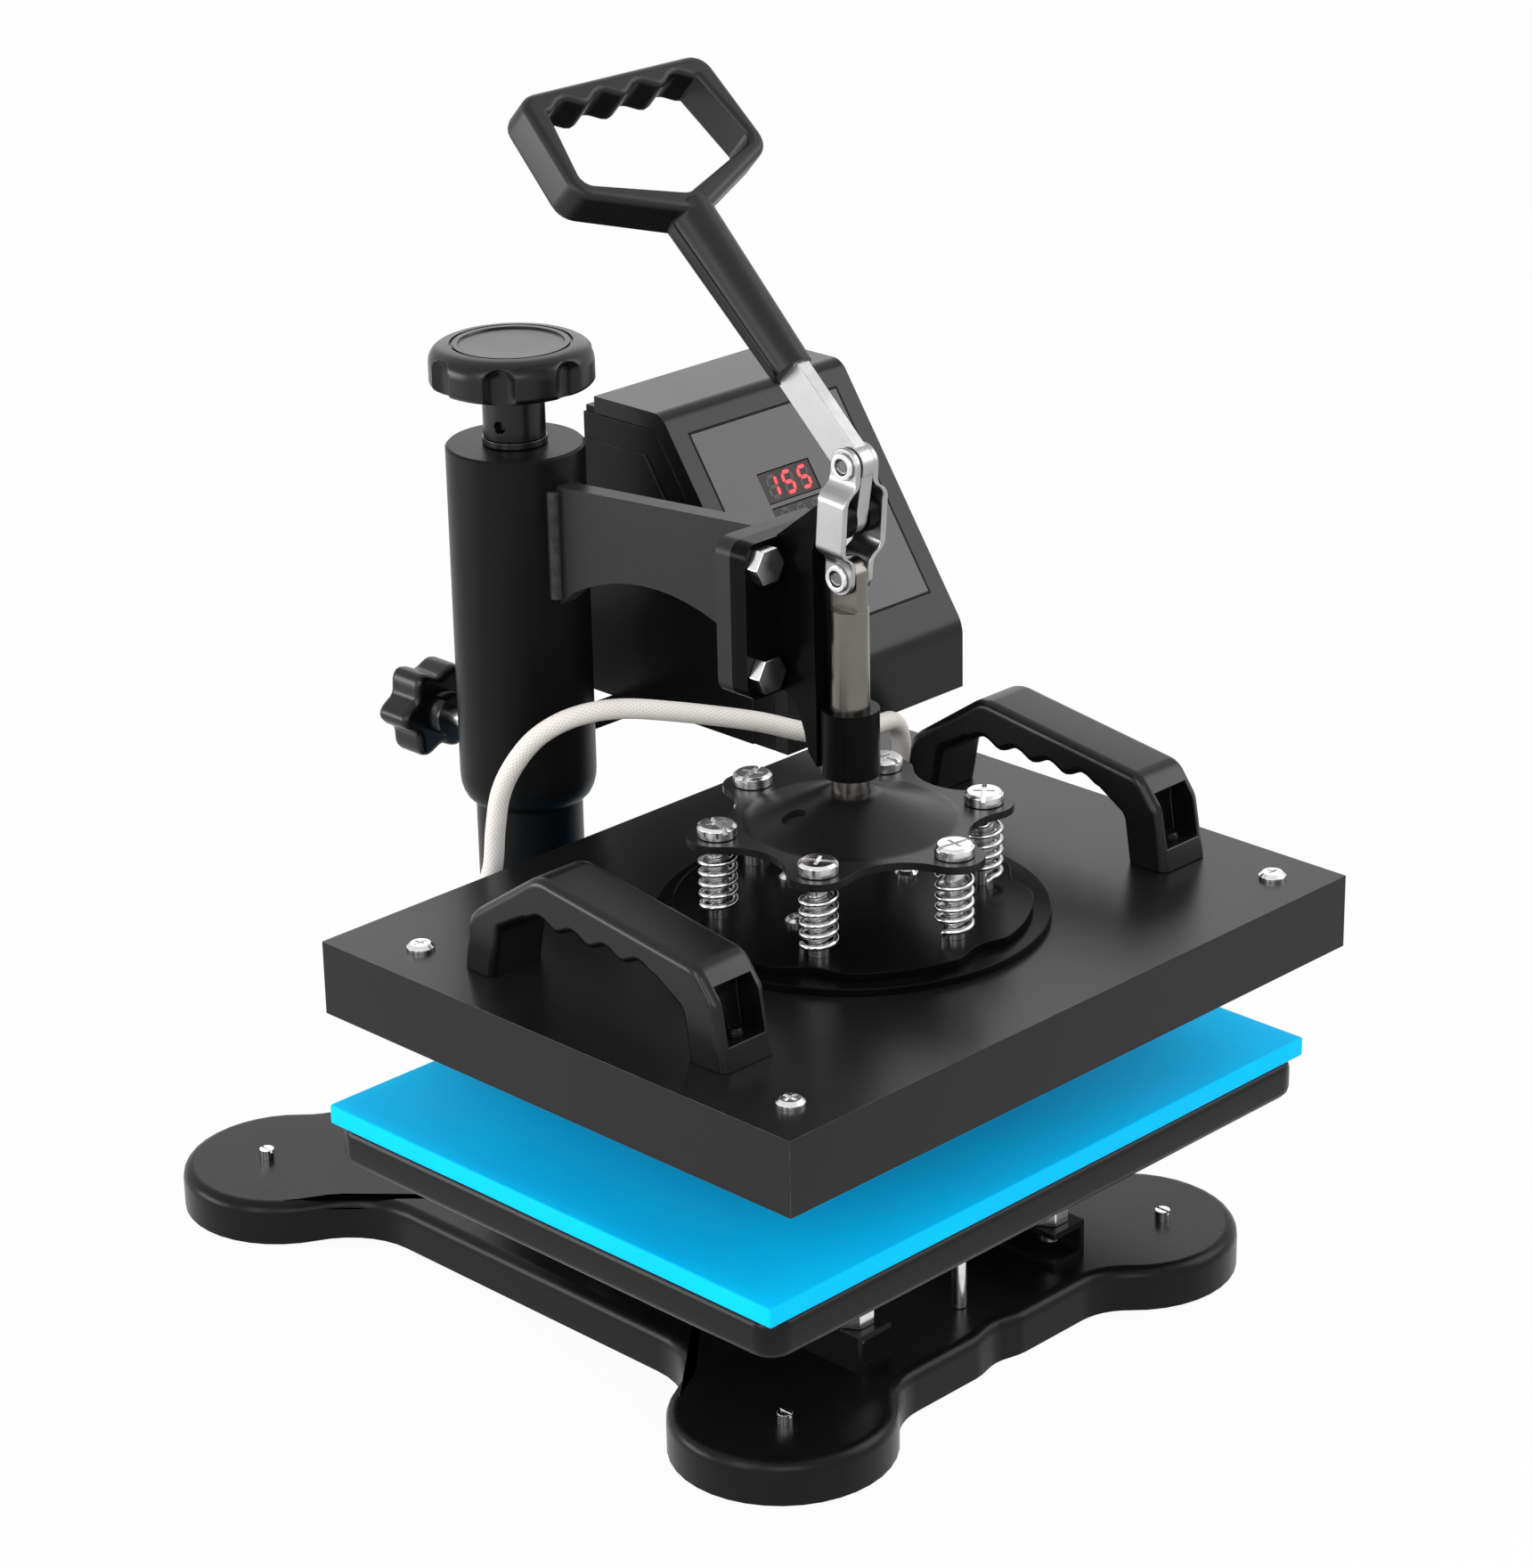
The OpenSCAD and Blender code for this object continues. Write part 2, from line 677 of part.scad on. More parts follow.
module fuse_holder() {
  color([0.06, 0.06, 0.07]) rear_at(fuse_at) rotate([90, 0, 0]) {
    translate([0, 0, -1]) cylinder(r = fuse_r, h = 24, $fn = small_fn);
    difference() {
      translate([0, 0, -6]) cylinder(r = fuse_r + 2, h = 6, $fn = small_fn);
      translate([0, 0, -6]) cube([1.4, 10, 2.4], center = true);
    }
  }
}

module switch_frame() {
  color([0.05, 0.05, 0.06]) rear_at(switch_at) difference() {
    union() {
      translate([0, -8, 0]) cube([switch_size[0], 16, switch_size[1]], center = true);
      translate([0, 0.8, 0]) cube([switch_size[0] + 3, 1.6, switch_size[1] + 4], center = true);
    }
    translate([0, -4, 0]) cube([switch_size[0] - 2.4, 16, switch_size[1] - 2], center = true);
  }
}

module power_rocker() {
  half = switch_size[1] / 2 - 2;
  color([0.75, 0.08, 0.06]) rear_at(switch_at) rotate([rocker_tilt, 0, 0]) across(switch_size[0] - 3.2)
    polygon([[-3.5, -4], [3, -half], [4.2, -half], [2.6, 0], [4.2, half], [3, half], [-3.5, 4]]);
}

module cable_gland() {
  color([0.1, 0.1, 0.1]) rear_at(gland_box) rotate([-90, 0, 0]) difference() {
    union() {
      translate([0, 0, -skin - 6]) cylinder(r = gland_r, h = skin + 7, $fn = small_fn);
      cylinder(r = 8, h = 5, $fn = 6);
      translate([0, 0, 5]) cylinder(r = 6, h = 4, $fn = small_fn);
    }
    translate([0, 0, -20]) cylinder(r = cable_r, h = 40, $fn = small_fn);
  }
}

// Heater cable: a slack loop from the back of the box round the column to the platen

box_end = [box_x + gland_box[0], box_back, box_z + gland_box[1]];
cable_route = [
  box_end + [0, -2, 0], box_end + [0, 4, 0], box_end + [0, 10, 0], box_end + [0, 16, 0],
  box_end + [-2, 26, -3], [63, 152, top_z + 51], [52, 156, top_z + 40], [40, 155, top_z + 24],
  [30, 152, top_z], [21, 146, top_z - 28], [12, 138, top_z - 52], [-8, 134, top_z - 66],
  [-30, 116, top_z - 62], [-43, 96, top_z - 48], [-49, 80, top_z - 30], [-50, 68, top_z - 10],
  [-51, 63.5, top_z + 10], [-50, 60.5, top_z + 25.5], [-46, 55.5, top_z + 38.5],
  [-39.5, 48.5, top_z + 49.5], [-29.5, 39.5, top_z + 56.5], [-15.5, 29.5, top_z + 58.5],
  [3, 18.5, top_z + 55], [35, 6, top_z + 45], [58.5, 0, top_z + 35], [82, -1, top_z + 27.5],
  [102, 0.5, top_z + 26], [110, 2, top_z + 24], [116, 4, top_z + 18],
  [gland_at[0], gland_at[1], top_z + 10], [gland_at[0], gland_at[1], top_z + 3]];
function bend(p, q, r, s, t) = ((2 * q) + (r - p) * t + (2 * p - 5 * q + 4 * r - s) * t * t
  + (3 * q - p - 3 * r + s) * t * t * t) / 2;
function curve(pts, n) = let (k = len(pts)) concat(
  [for (i = [0 : k - 2]) for (j = [0 : n - 1])
    bend(pts[max(i - 1, 0)], pts[i], pts[i + 1], pts[min(i + 2, k - 1)], j / n)],
  [pts[k - 1]]);
// normals carried along the path without twist
function carried(dirs, i) = i == 0 ? unit(cross(dirs[0], [0.31, 0.17, 0.93]))
  : let (n = carried(dirs, i - 1)) unit(n - dirs[i] * (n * dirs[i]));

module tube(path, r, sides, normals) {
  k = len(path);
  dirs = [for (i = [0 : k - 1]) unit(path[min(i + 1, k - 1)] - path[max(i - 1, 0)])];
  n = is_undef(normals) ? [for (i = [0 : k - 1]) carried(dirs, i)] : normals;
  loft([for (i = [0 : k - 1]) let (b = cross(dirs[i], n[i]))
    [for (j = [0 : sides - 1]) path[i] + r * (n[i] * cos(360 * j / sides) + b * sin(360 * j / sides))]]);
}

module heater_cable() {
  color([0.9, 0.88, 0.84]) tube(curve(cable_route, 2), cable_r, 10);
}

// Turned knobs

function fluted(r, depth, count, sharp, n) = [for (k = [0 : n - 1]) let (a = 360 * k / n)
  (r - depth * pow((1 - cos(count * a)) / 2, sharp)) * [cos(a), sin(a)]];

module lock_knob() {
  color([0.06, 0.06, 0.07]) translate([0, col_y + lock_out, lock_z]) rotate([-90, 0, 0]) difference() {
    union() {
      cylinder(r = 9, h = 10, $fn = round_fn);
      translate([0, 0, 8]) pillow(fluted(20, 5, 6, 1, 60), 18, 3);
    }
    translate([0, 0, -1]) cylinder(r = lock_stud_r + run, h = lock_socket + 1, $fn = small_fn);
  }
}

module lock_stud() {
  start = post_r + 0.4;
  color([0.8, 0.8, 0.82]) translate([0, col_y + start, lock_z]) rotate([-90, 0, 0])
    cylinder(r = lock_stud_r, h = lock_out + lock_socket - start, $fn = small_fn);
}

// section of the knob: flat below, round shoulder above
function knob_section() = [[0, 0], [knob_r - 3, 0], [knob_r - 1.1, 1.2], [knob_r, 3.2],
  [knob_r, knob_h - 8.3], [knob_r - 0.8, knob_h - 5], [knob_r - 2.8, knob_h - 2.2],
  [knob_r - 5.6, knob_h - 0.6], [knob_r - 8, knob_h], [0, knob_h]];

module pressure_knob() {
  low = sleeve_top + thrust_h + free;
  rim_z = top_z + knob_rise;
  color([0.06, 0.06, 0.07]) translate([0, col_y, 0]) difference() {
    union() {
      translate([0, 0, low]) cylinder(r = collar_r, h = rim_z - low + 2, $fn = round_fn);
      translate([0, 0, rim_z]) rotate_extrude($fn = round_fn) polygon(knob_section());
    }
    // finger flutes, round at their upper ends
    for (k = [0 : flute_count - 1]) rotate(flute_turn + 360 * k / flute_count)
      translate([knob_r + flute_r - flute_depth, 0, rim_z + flute_rise]) {
        translate([0, 0, -flute_rise - 1]) cylinder(r = flute_r, h = flute_rise + 1, $fn = small_fn);
        sphere(r = flute_r, $fn = small_fn);
      }
    translate([0, 0, low - 1]) cylinder(r = screw_r + run, h = knob_socket + 1, $fn = small_fn);
    // a thin ring groove and a shallow round dish in the top
    translate([0, 0, rim_z + knob_h - 1]) difference() {
      cylinder(r = knob_r - 8.3, h = 3, $fn = round_fn);
      translate([0, 0, -1]) cylinder(r = knob_r - 9.6, h = 5, $fn = round_fn);
    }
    translate([0, 0, rim_z + knob_h - 0.8]) cylinder(r = knob_r - 12.1, h = 3, $fn = round_fn);
    // set screw hole in the collar
    translate([0, 0, top_z + 157]) rotate([90, 0, -70]) cylinder(r = 2.2, h = 30, $fn = small_fn);
  }
}

module lift_screw() {
  low = top_z + 68;
  color([0.75, 0.75, 0.77]) translate([0, col_y, low])
    cylinder(r = screw_r, h = sleeve_top + thrust_h + free + knob_socket - low, $fn = round_fn);
}

// Lever: s runs from the elbow up the raised handle

module lever_frame() {
  translate([0, elbow[0], elbow[1]]) rotate([90 - lever_lean, 0, 0]) children();
}

socket_s = 42;
tail_s = 82;
tail_half = 5.5;
loop_t = 17;

module lever_bar() {
  color([0.8, 0.8, 0.82]) difference() {
    union() {
      across(2 * bar_half) {
        translate(pivot) circle(r = 7, $fn = round_fn);
        translate(elbow) circle(r = 7.5, $fn = round_fn);
        translate(pivot) rotate(rest_lean) translate([-7, 0]) square([14, crank]);
      }
      lever_frame() {
        translate([-bar_half, 0, -7]) cube([2 * bar_half, socket_s - 1, 14]);
        translate([-bar_half, socket_s - 2, -tail_half])
          cube([2 * bar_half, tail_s - socket_s + 2, 2 * tail_half]);
      }
    }
    for (p = [pivot, elbow]) translate([-10, p[0], p[1]]) rotate([0, 90, 0])
      cylinder(r = pin_r + run, h = 20, $fn = small_fn);
  }
}

module lever_handle() {
  hoop = softened([[0, 109], [49.5, 129], [47, 174], [-47, 174], [-49.5, 129]], [12, 9, 8, 8, 9], 5);
  // four finger hollows along the inside of the top bar
  grip = [for (k = [0 : 32]) [38 - 76 * k / 32, 164 + 4 * pow(sin(720 * k / 32), 2)]];
  gap = concat(corner([-43, 133], [0, 119], [43, 133], 8, 4),
    corner([0, 119], [43, 133], [40, 164], 5, 4), grip,
    corner([-40, 164], [-43, 133], [0, 119], 5, 4));
  color([0.07, 0.07, 0.08]) lever_frame() difference() {
    union() {
      translate([0, 0, -loop_t / 2]) pillow(hoop, loop_t, 3);
      translate([0, socket_s, 0]) rotate([-90, 0, 0])
        cylinder(r1 = 8.2, r2 = 10, h = 74, $fn = round_fn);
    }
    translate([0, 0, -loop_t / 2]) flare(gap, loop_t, 2.5);
    translate([-bar_half - run, socket_s - 1, -tail_half - run])
      cube([2 * (bar_half + run), tail_s - socket_s + 1.2, 2 * (tail_half + run)]);
  }
}

// Toggle links, hung from the elbow

module link_frame() {
  translate([0, elbow[0], elbow[1]]) rotate([link_lean, 0, 0]) children();
}

module link_plate(side) {
  inner = [[neck_in, 8], [neck_in, -7], [bulge_in, -11], [bulge_in, 11 - link_len],
    [neck_in, 7 - link_len], [neck_in, -8 - link_len]];
  outer = [for (k = [5 : -1 : 0]) inner[k] + [link_t, 0]];
  color([0.82, 0.82, 0.84]) link_frame() mirror([side < 0 ? 1 : 0, 0, 0]) difference() {
    intersection() {
      rotate([90, 0, 0]) linear_extrude(2 * link_r, center = true) polygon(concat(inner, outer));
      across(40) {
        circle(r = link_r, $fn = round_fn);
        translate([0, -link_len]) circle(r = link_r, $fn = round_fn);
        translate([-link_r, -link_len]) square([2 * link_r, link_len]);
      }
    }
    rotate([0, 90, 0]) cylinder(r = pin_r, h = 20, $fn = small_fn);
  }
}

module link_left() {
  link_plate(-1);
}

module link_right() {
  link_plate(1);
}

module link_rivets() {
  out = neck_in + link_t;
  color([0.7, 0.7, 0.72]) link_frame() {
    translate([-out, 0, 0]) rotate([0, 90, 0]) cylinder(r = pin_r, h = 2 * out, $fn = small_fn);
    for (z = [0, -link_len]) for (s = [0, 1]) mirror([s, 0, 0]) translate([out, 0, z])
      rotate([0, 90, 0]) cylinder(r = rivet_r, h = rivet_h, $fn = small_fn);
  }
}

// Plunger and spider

module plunger() {
  tang = toe[1] - 13;
  color([0.72, 0.7, 0.66]) difference() {
    union() {
      translate([0, plunger_y, spider_z + dome_rise])
        cylinder(r = plunger_r, h = tang - spider_z - dome_rise, $fn = round_fn);
      intersection() {
        translate([0, plunger_y, tang - 1]) cylinder(r = plunger_r, h = 30, $fn = round_fn);
        across(2 * bar_half) {
          translate(toe) circle(r = 7, $fn = round_fn);
          translate([toe[0] - 7, tang - 1]) square([14, 14]);
        }
      }
    }
    translate([-10, toe[0], toe[1]]) rotate([0, 90, 0])
      cylinder(r = pin_r, h = 20, $fn = small_fn);
  }
}

module plunger_pin() {
  color([0.7, 0.7, 0.72]) translate([-bar_half, toe[0], toe[1]]) rotate([0, 90, 0])
    cylinder(r = pin_r, h = 2 * bar_half, $fn = small_fn);
}

// six round lobes joined by concave arcs
function spider_plan() =
  let (mid = lobe_ring * cos(30) - spider_neck, half = lobe_ring / 2)
  let (f = (mid * mid + half * half - spider_lobe * spider_lobe) / (2 * (spider_lobe + mid)))
  let (t = atan2((spider_neck + f) * sin(30), (spider_neck + f) * cos(30) - lobe_ring))
  [for (a = spring_angles) each concat(
    arc(lobe_ring * [cos(a), sin(a)], spider_lobe, a - t, a + t, 10),
    arc((spider_neck + f) * [cos(a + 30), sin(a + 30)], f, a + t - 180, a - t - 120, 8, 1, 1))];

// section of the raised middle, from its rim in to the plunger
dome_shape = [[1, -0.03], [0.89, 0.04], [0.68, 0.31], [0.45, 0.66], [0.27, 0.94], [0.2, 1], [0, 1]];

function dome_line(up, least) =
  [for (p = dome_shape) [dome_r * p[0], up + max(dome_rise * p[1], least)]];

module spider() {
  below = dome_line(0, 0.4);
  top = spider_h + dome_rise;
  color([0.08, 0.08, 0.09]) difference() {
    translate([0, plunger_y, spider_z]) union() {
      difference() {
        linear_extrude(spider_h) polygon(spider_plan());
        translate([0, 0, -1]) cylinder(r = 0.86 * dome_r, h = spider_h + 2, $fn = round_fn);
      }
      rotate_extrude($fn = round_fn)
        polygon(concat(dome_line(spider_h, -1), [for (k = [6 : -1 : 0]) below[k]]));
    }
    pegs(screw_shank_r + 0.1, spider_z - 1, spider_h + 2, spring_spots);
    pegs(plunger_r, spider_z - 1, top + 2, [[0, plunger_y]], round_fn);
    pegs(spider_hole_r, spider_z - 1, top + 2, ring(spider_hole_ring, [162]));
  }
}

// Platen

cover_spots = four(cover_screw, plunger_y);
handle_spots = [for (x = [-handle_x, handle_x]) for (y = handle_screw_ys) [x, handle_y + y]];
disc_spots = ring(30, [0, 95, 180]);

module platen_cover() {
  color([0.13, 0.13, 0.14]) difference() {
    translate([-platen_w / 2, platen_y - platen_d / 2, platen_z]) cube([platen_w, platen_d, platen_h]);
    translate([cover_t - platen_w / 2, platen_y + cover_t - platen_d / 2, platen_z - cover_t])
      cube([platen_w - 2 * cover_t, platen_d - 2 * cover_t, platen_h]);
    pegs(2 + run, top_z - 3, 5, concat(cover_spots, disc_spots));
    pegs(handle_screw_r + run, top_z - 3, 5, handle_spots);
    pegs(cable_hole_r, top_z - 3, 5, [gland_at]);
  }
}

module heater_plate() {
  w = platen_w - 2 * cover_t - 0.4;
  d = platen_d - 2 * cover_t - 0.4;
  color([0.7, 0.71, 0.73]) difference() {
    translate([-w / 2, platen_y - d / 2, platen_z]) cube([w, d, plate_h]);
    pegs(2 + run, platen_z + plate_h - 5, 6, cover_spots);
  }
}

module insulation() {
  w = platen_w - 2 * cover_t - 1;
  d = platen_d - 2 * cover_t - 1;
  low = platen_z + plate_h;
  color([0.85, 0.83, 0.78]) difference() {
    translate([-w / 2, platen_y - d / 2, low]) cube([w, d, platen_h - plate_h - cover_t]);
    pegs(2.3, low - 1, platen_h, cover_spots);
    pegs(3.2, low + 2, platen_h, handle_spots);
    pegs(cable_hole_r + free, low + 2, platen_h, [gland_at]);
  }
}

module disc_lower() {
  color([0.09, 0.09, 0.1]) difference() {
    pegs(disc_r, top_z, disc_h, [[0, plunger_y]], 96);
    pegs(screw_shank_r, top_z - 1, disc_h + 2, spring_spots);
    pegs(2 + run, top_z - 1, disc_h + 2, disc_spots);
  }
}

// upper disc, with a shallow notch outside each spring
function notched(a) = let (d = abs((a + 360) % 60 - 30))
  upper_disc_r - (d < 13 ? 2.3 * (1 + cos(180 * d / 13)) : 0);

module disc_upper() {
  color([0.09, 0.09, 0.1]) difference() {
    translate([0, plunger_y, top_z + disc_h]) linear_extrude(disc_h)
      polygon([for (k = [0 : 119]) notched(3 * k) * [cos(3 * k), sin(3 * k)]]);
    pegs(screw_shank_r, top_z + disc_h - 1, disc_h + 2, spring_spots);
    pegs(2 + run, top_z + disc_h - 1, disc_h + 2, disc_spots);
  }
}

// pan head screw with a cross slot: seat at z, shank of length h below it
module pan_screw(p, z, h, r, head_r, head_h) {
  translate([p[0], p[1], z]) difference() {
    union() {
      translate([0, 0, -h]) cylinder(r = r, h = h + 0.5, $fn = small_fn);
      cylinder(r = head_r, h = head_h / 2, $fn = small_fn);
      translate([0, 0, head_h / 2])
        cylinder(r1 = head_r, r2 = 0.72 * head_r, h = head_h / 2, $fn = small_fn);
    }
    for (a = [0, 90]) rotate(a) translate([0, 0, head_h])
      cube([1.1 * head_r, 0.24 * head_r, 0.8 * head_h], center = true);
  }
}

module disc_screws() {
  color([0.75, 0.75, 0.77]) for (p = disc_spots)
    pan_screw(p, spring_z, 2 * disc_h + cover_t, 2, 4.4, 2.6);
}

module cover_screws() {
  color([0.8, 0.8, 0.82]) for (p = cover_spots)
    pan_screw(p, top_z, platen_h - plate_h + 5, 2, 5.3, 2.6);
}

module spring_screws() {
  seat = spider_z + spider_h + free;
  color([0.8, 0.8, 0.82]) for (k = [0 : 5])
    translate([spring_spots[k][0], spring_spots[k][1], 0]) difference() {
      union() {
        translate([0, 0, top_z + 0.1]) cylinder(r = screw_shank_r, h = seat - top_z, $fn = small_fn);
        translate([0, 0, seat]) cylinder(r = screw_head_r, h = screw_head_h - 1, $fn = small_fn);
        translate([0, 0, seat + screw_head_h - 1])
          cylinder(r1 = screw_head_r, r2 = screw_head_r - 1.2, h = 1, $fn = small_fn);
      }
      translate([0, 0, seat + screw_head_h]) rotate(20 + 50 * k) {
        cube([20, 1.8, 3.6], center = true);
        cube([1.4, 8, 2.6], center = true);
      }
    }
}

// one spring as [angle, height] pairs: a straight stub, a quarter bend, the turns, and back again
bend_r = 0.9 * wire_d;
function bend_turn(a) = bend_r * (1 - cos(a)) / coil_r * 180 / PI;
spring_end = concat([[0, 0]], [for (a = [0, 30, 60]) [bend_turn(a), wire_d + bend_r * sin(a)]]);
coil_from = [bend_turn(90), wire_d + bend_r];
coil_to = [360 * spring_turns - coil_from[0], spring_len - coil_from[1]];
spring_line = concat(spring_end,
  [for (k = [0 : 8 * spring_turns]) coil_from + (coil_to - coil_from) * k / (8 * spring_turns)],
  [for (k = [len(spring_end) - 1 : -1 : 0])
    [360 * spring_turns - spring_end[k][0], spring_len - spring_end[k][1]]]);
spring_path = [for (p = spring_line) [coil_r * cos(p[0]), coil_r * sin(p[0]), p[1]]];
spring_out = [for (p = spring_line) [cos(p[0]), sin(p[0]), 0]];
least_spring_gap = min([for (i = [0 : len(spring_path) - 8])
  for (j = [i + 7 : len(spring_path) - 1]) norm(spring_path[j] - spring_path[i])]) - wire_d;
echo(least_spring_gap = least_spring_gap);

module springs() {
  color([0.82, 0.82, 0.84]) for (k = [0 : 5])
    translate([spring_spots[k][0], spring_spots[k][1], spring_z])
      rotate(60 * k) tube(spring_path, wire_d / 2, 6, spring_out);
}

// carrying handle at x: outline in [y, z] above the platen, hollow ends with a screw in each
module carry_handle(x) {
  bones = [[-70.6, -4], [handle_foot, -4], [63, 22], [25, 48], [-57, 37], [-66, 25]];
  body = concat([bones[0], bones[1]], corner(bones[1], bones[2], bones[3], 12, 5),
    corner(bones[2], bones[3], bones[4], 14, 5), corner(bones[3], bones[4], bones[5], 10, 5),
    corner(bones[4], bones[5], bones[0], 8, 5));
  grip = [for (k = [0 : 32]) [32 - 68 * k / 32, 28.5 - k / 16 + 3.2 * pow(sin(720 * k / 32), 2)]];
  gap = concat([[-52.6, -5], [51, -5]], corner([51, -5], [46, 20], [36, 29], 6, 3), grip,
    corner([-40, 27], [-49, 18], [-52.6, -5], 6, 3));
  color([0.06, 0.06, 0.07]) translate([x, handle_y, top_z]) difference() {
    rotate([90, 0, 90]) translate([0, 0, -handle_w / 2]) difference() {
      pillow(body, handle_w, 3.5, 3, 0);
      flare(gap, handle_w, 3);
    }
    across(18) {
      polygon([[-80, 9], [-57, 9], [-55, 22], [-55, 29], [-80, 33]]);
      polygon([[80, 9], [55, 9], [54, 20], [80, 24]]);
    }
    pegs(handle_screw_r + run, -1, 12, [for (y = handle_screw_ys) [0, y]]);
  }
}

module handle_left() {
  carry_handle(-handle_x);
}

module handle_right() {
  carry_handle(handle_x);
}

module handle_screws() {
  color([0.7, 0.7, 0.72]) for (p = handle_spots) pan_screw(p, top_z + 9, 17, handle_screw_r, 3.7, 3);
}

module platen_gland() {
  color([0.06, 0.06, 0.06]) translate([gland_at[0], gland_at[1], top_z]) difference() {
    union() {
      cylinder(r = grommet_r, h = grommet_h / 2, $fn = small_fn);
      translate([0, 0, grommet_h / 2])
        cylinder(r1 = grommet_r, r2 = grommet_r - 1.5, h = grommet_h / 2, $fn = small_fn);
    }
    translate([0, 0, -1]) cylinder(r = cable_hole_r, h = grommet_h + 2, $fn = small_fn);
  }
}

// Panel keys

module panel_key(p) {
  slope_at(p, 6) cylinder(r = key_r, h = 6 + key_rise, $fn = small_fn);
}

module key_set() {
  color([0.35, 0.36, 0.4]) panel_key(key_spots[0]);
}

module key_up() {
  color([0.35, 0.36, 0.4]) panel_key(key_spots[1]);
}

module key_down() {
  color([0.35, 0.36, 0.4]) panel_key(key_spots[2]);
}

base_plate();
base_feet();
foot_studs();
post();
post_nut();
rails();
tray();
tray_studs();
tray_nuts();
pad();
thrust_ring();
sleeve();
arm();
bracket();
bracket_bolts();
pivot_pin();
box_bar();
box_screws();
box_shell();
box_cover();
overlay();
temp_display();
time_display();
control_board();
mains_inlet();
fuse_holder();
switch_frame();
cable_gland();
heater_cable();
lock_knob();
lock_stud();
pressure_knob();
lift_screw();
lever_bar();
lever_handle();
link_left();
link_right();
link_rivets();
plunger();
plunger_pin();
spider();
platen_cover();
heater_plate();
insulation();
disc_lower();
disc_upper();
disc_screws();
spring_screws();
springs();
cover_screws();
handle_left();
handle_right();
handle_screws();
platen_gland();
key_set();
key_up();
key_down();
power_rocker();
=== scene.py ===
"""Looks of a swing-away heat press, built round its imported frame. Metres, +Z up."""
import json
import math

import bmesh
import bpy
import numpy as np
from mathutils import Matrix, Vector


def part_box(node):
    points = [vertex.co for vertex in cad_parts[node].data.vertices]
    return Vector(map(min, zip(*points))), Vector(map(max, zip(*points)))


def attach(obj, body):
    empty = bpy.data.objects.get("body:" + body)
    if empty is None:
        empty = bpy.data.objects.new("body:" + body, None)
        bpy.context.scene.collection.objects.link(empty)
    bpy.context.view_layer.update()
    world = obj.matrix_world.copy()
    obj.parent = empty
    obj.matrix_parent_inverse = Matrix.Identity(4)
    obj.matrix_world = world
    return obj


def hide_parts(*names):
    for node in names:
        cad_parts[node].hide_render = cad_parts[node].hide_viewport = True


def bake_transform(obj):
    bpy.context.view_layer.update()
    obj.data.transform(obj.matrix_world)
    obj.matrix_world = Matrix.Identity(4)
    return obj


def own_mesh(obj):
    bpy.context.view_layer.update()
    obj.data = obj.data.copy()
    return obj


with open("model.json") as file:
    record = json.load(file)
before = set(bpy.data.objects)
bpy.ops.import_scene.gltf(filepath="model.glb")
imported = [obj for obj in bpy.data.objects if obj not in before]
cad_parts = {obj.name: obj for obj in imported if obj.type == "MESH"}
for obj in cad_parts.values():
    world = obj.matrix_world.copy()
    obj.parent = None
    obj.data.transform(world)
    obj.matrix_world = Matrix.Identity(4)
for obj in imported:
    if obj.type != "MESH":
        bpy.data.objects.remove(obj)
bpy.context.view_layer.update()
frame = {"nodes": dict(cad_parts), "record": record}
MM = 0.001
RECORD = frame["record"]
BODY_OF = {n: body for body, names in RECORD["behaviour"]["bodies"].items() for n in names}
SLOT_OF = {part["node"]: part["material_slot"] for part in RECORD["subparts"]}

# heights and places that the pieces below share, from the frame
TOP_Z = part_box("platen_cover")[1].z
PLUNGER_Y = -80 * MM
BOX_LOW, BOX_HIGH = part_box("box_cover")
BOX_FRONT_H = 27 * MM
BOX_SLOPE_D = 67.2 * MM


# Camera: the photograph's viewing angle, solved from the platen's edges

CAMERA_AZIMUTH = math.radians(-45.012)
CAMERA_HEIGHT_ANGLE = math.radians(22.164)
CAMERA_ROLL = math.radians(-1.106)
CAMERA_AT = Vector((-1.0916, -1.1263, 0.8359))
CAMERA_LENS = 100.61
CAMERA_SENSOR = 36
CAMERA_REACH = 20


def make_camera():
    data = bpy.data.cameras.new("photo_camera")
    data.lens = CAMERA_LENS
    data.sensor_width = CAMERA_SENSOR
    data.clip_end = CAMERA_REACH
    camera = bpy.data.objects.new("photo_camera", data)
    bpy.context.scene.collection.objects.link(camera)
    turn, lift = CAMERA_AZIMUTH, CAMERA_HEIGHT_ANGLE
    back = Vector((math.sin(turn) * math.cos(lift), -math.cos(turn) * math.cos(lift), math.sin(lift)))
    right = Vector((math.cos(turn), math.sin(turn), 0))
    up = back.cross(right)
    c, s = math.cos(CAMERA_ROLL), math.sin(CAMERA_ROLL)
    level = Matrix((c * right + s * up, c * up - s * right, back)).transposed()
    camera.matrix_world = Matrix.Translation(CAMERA_AT) @ level.to_4x4()
    bpy.context.scene.camera = camera


make_camera()


# Shader helpers

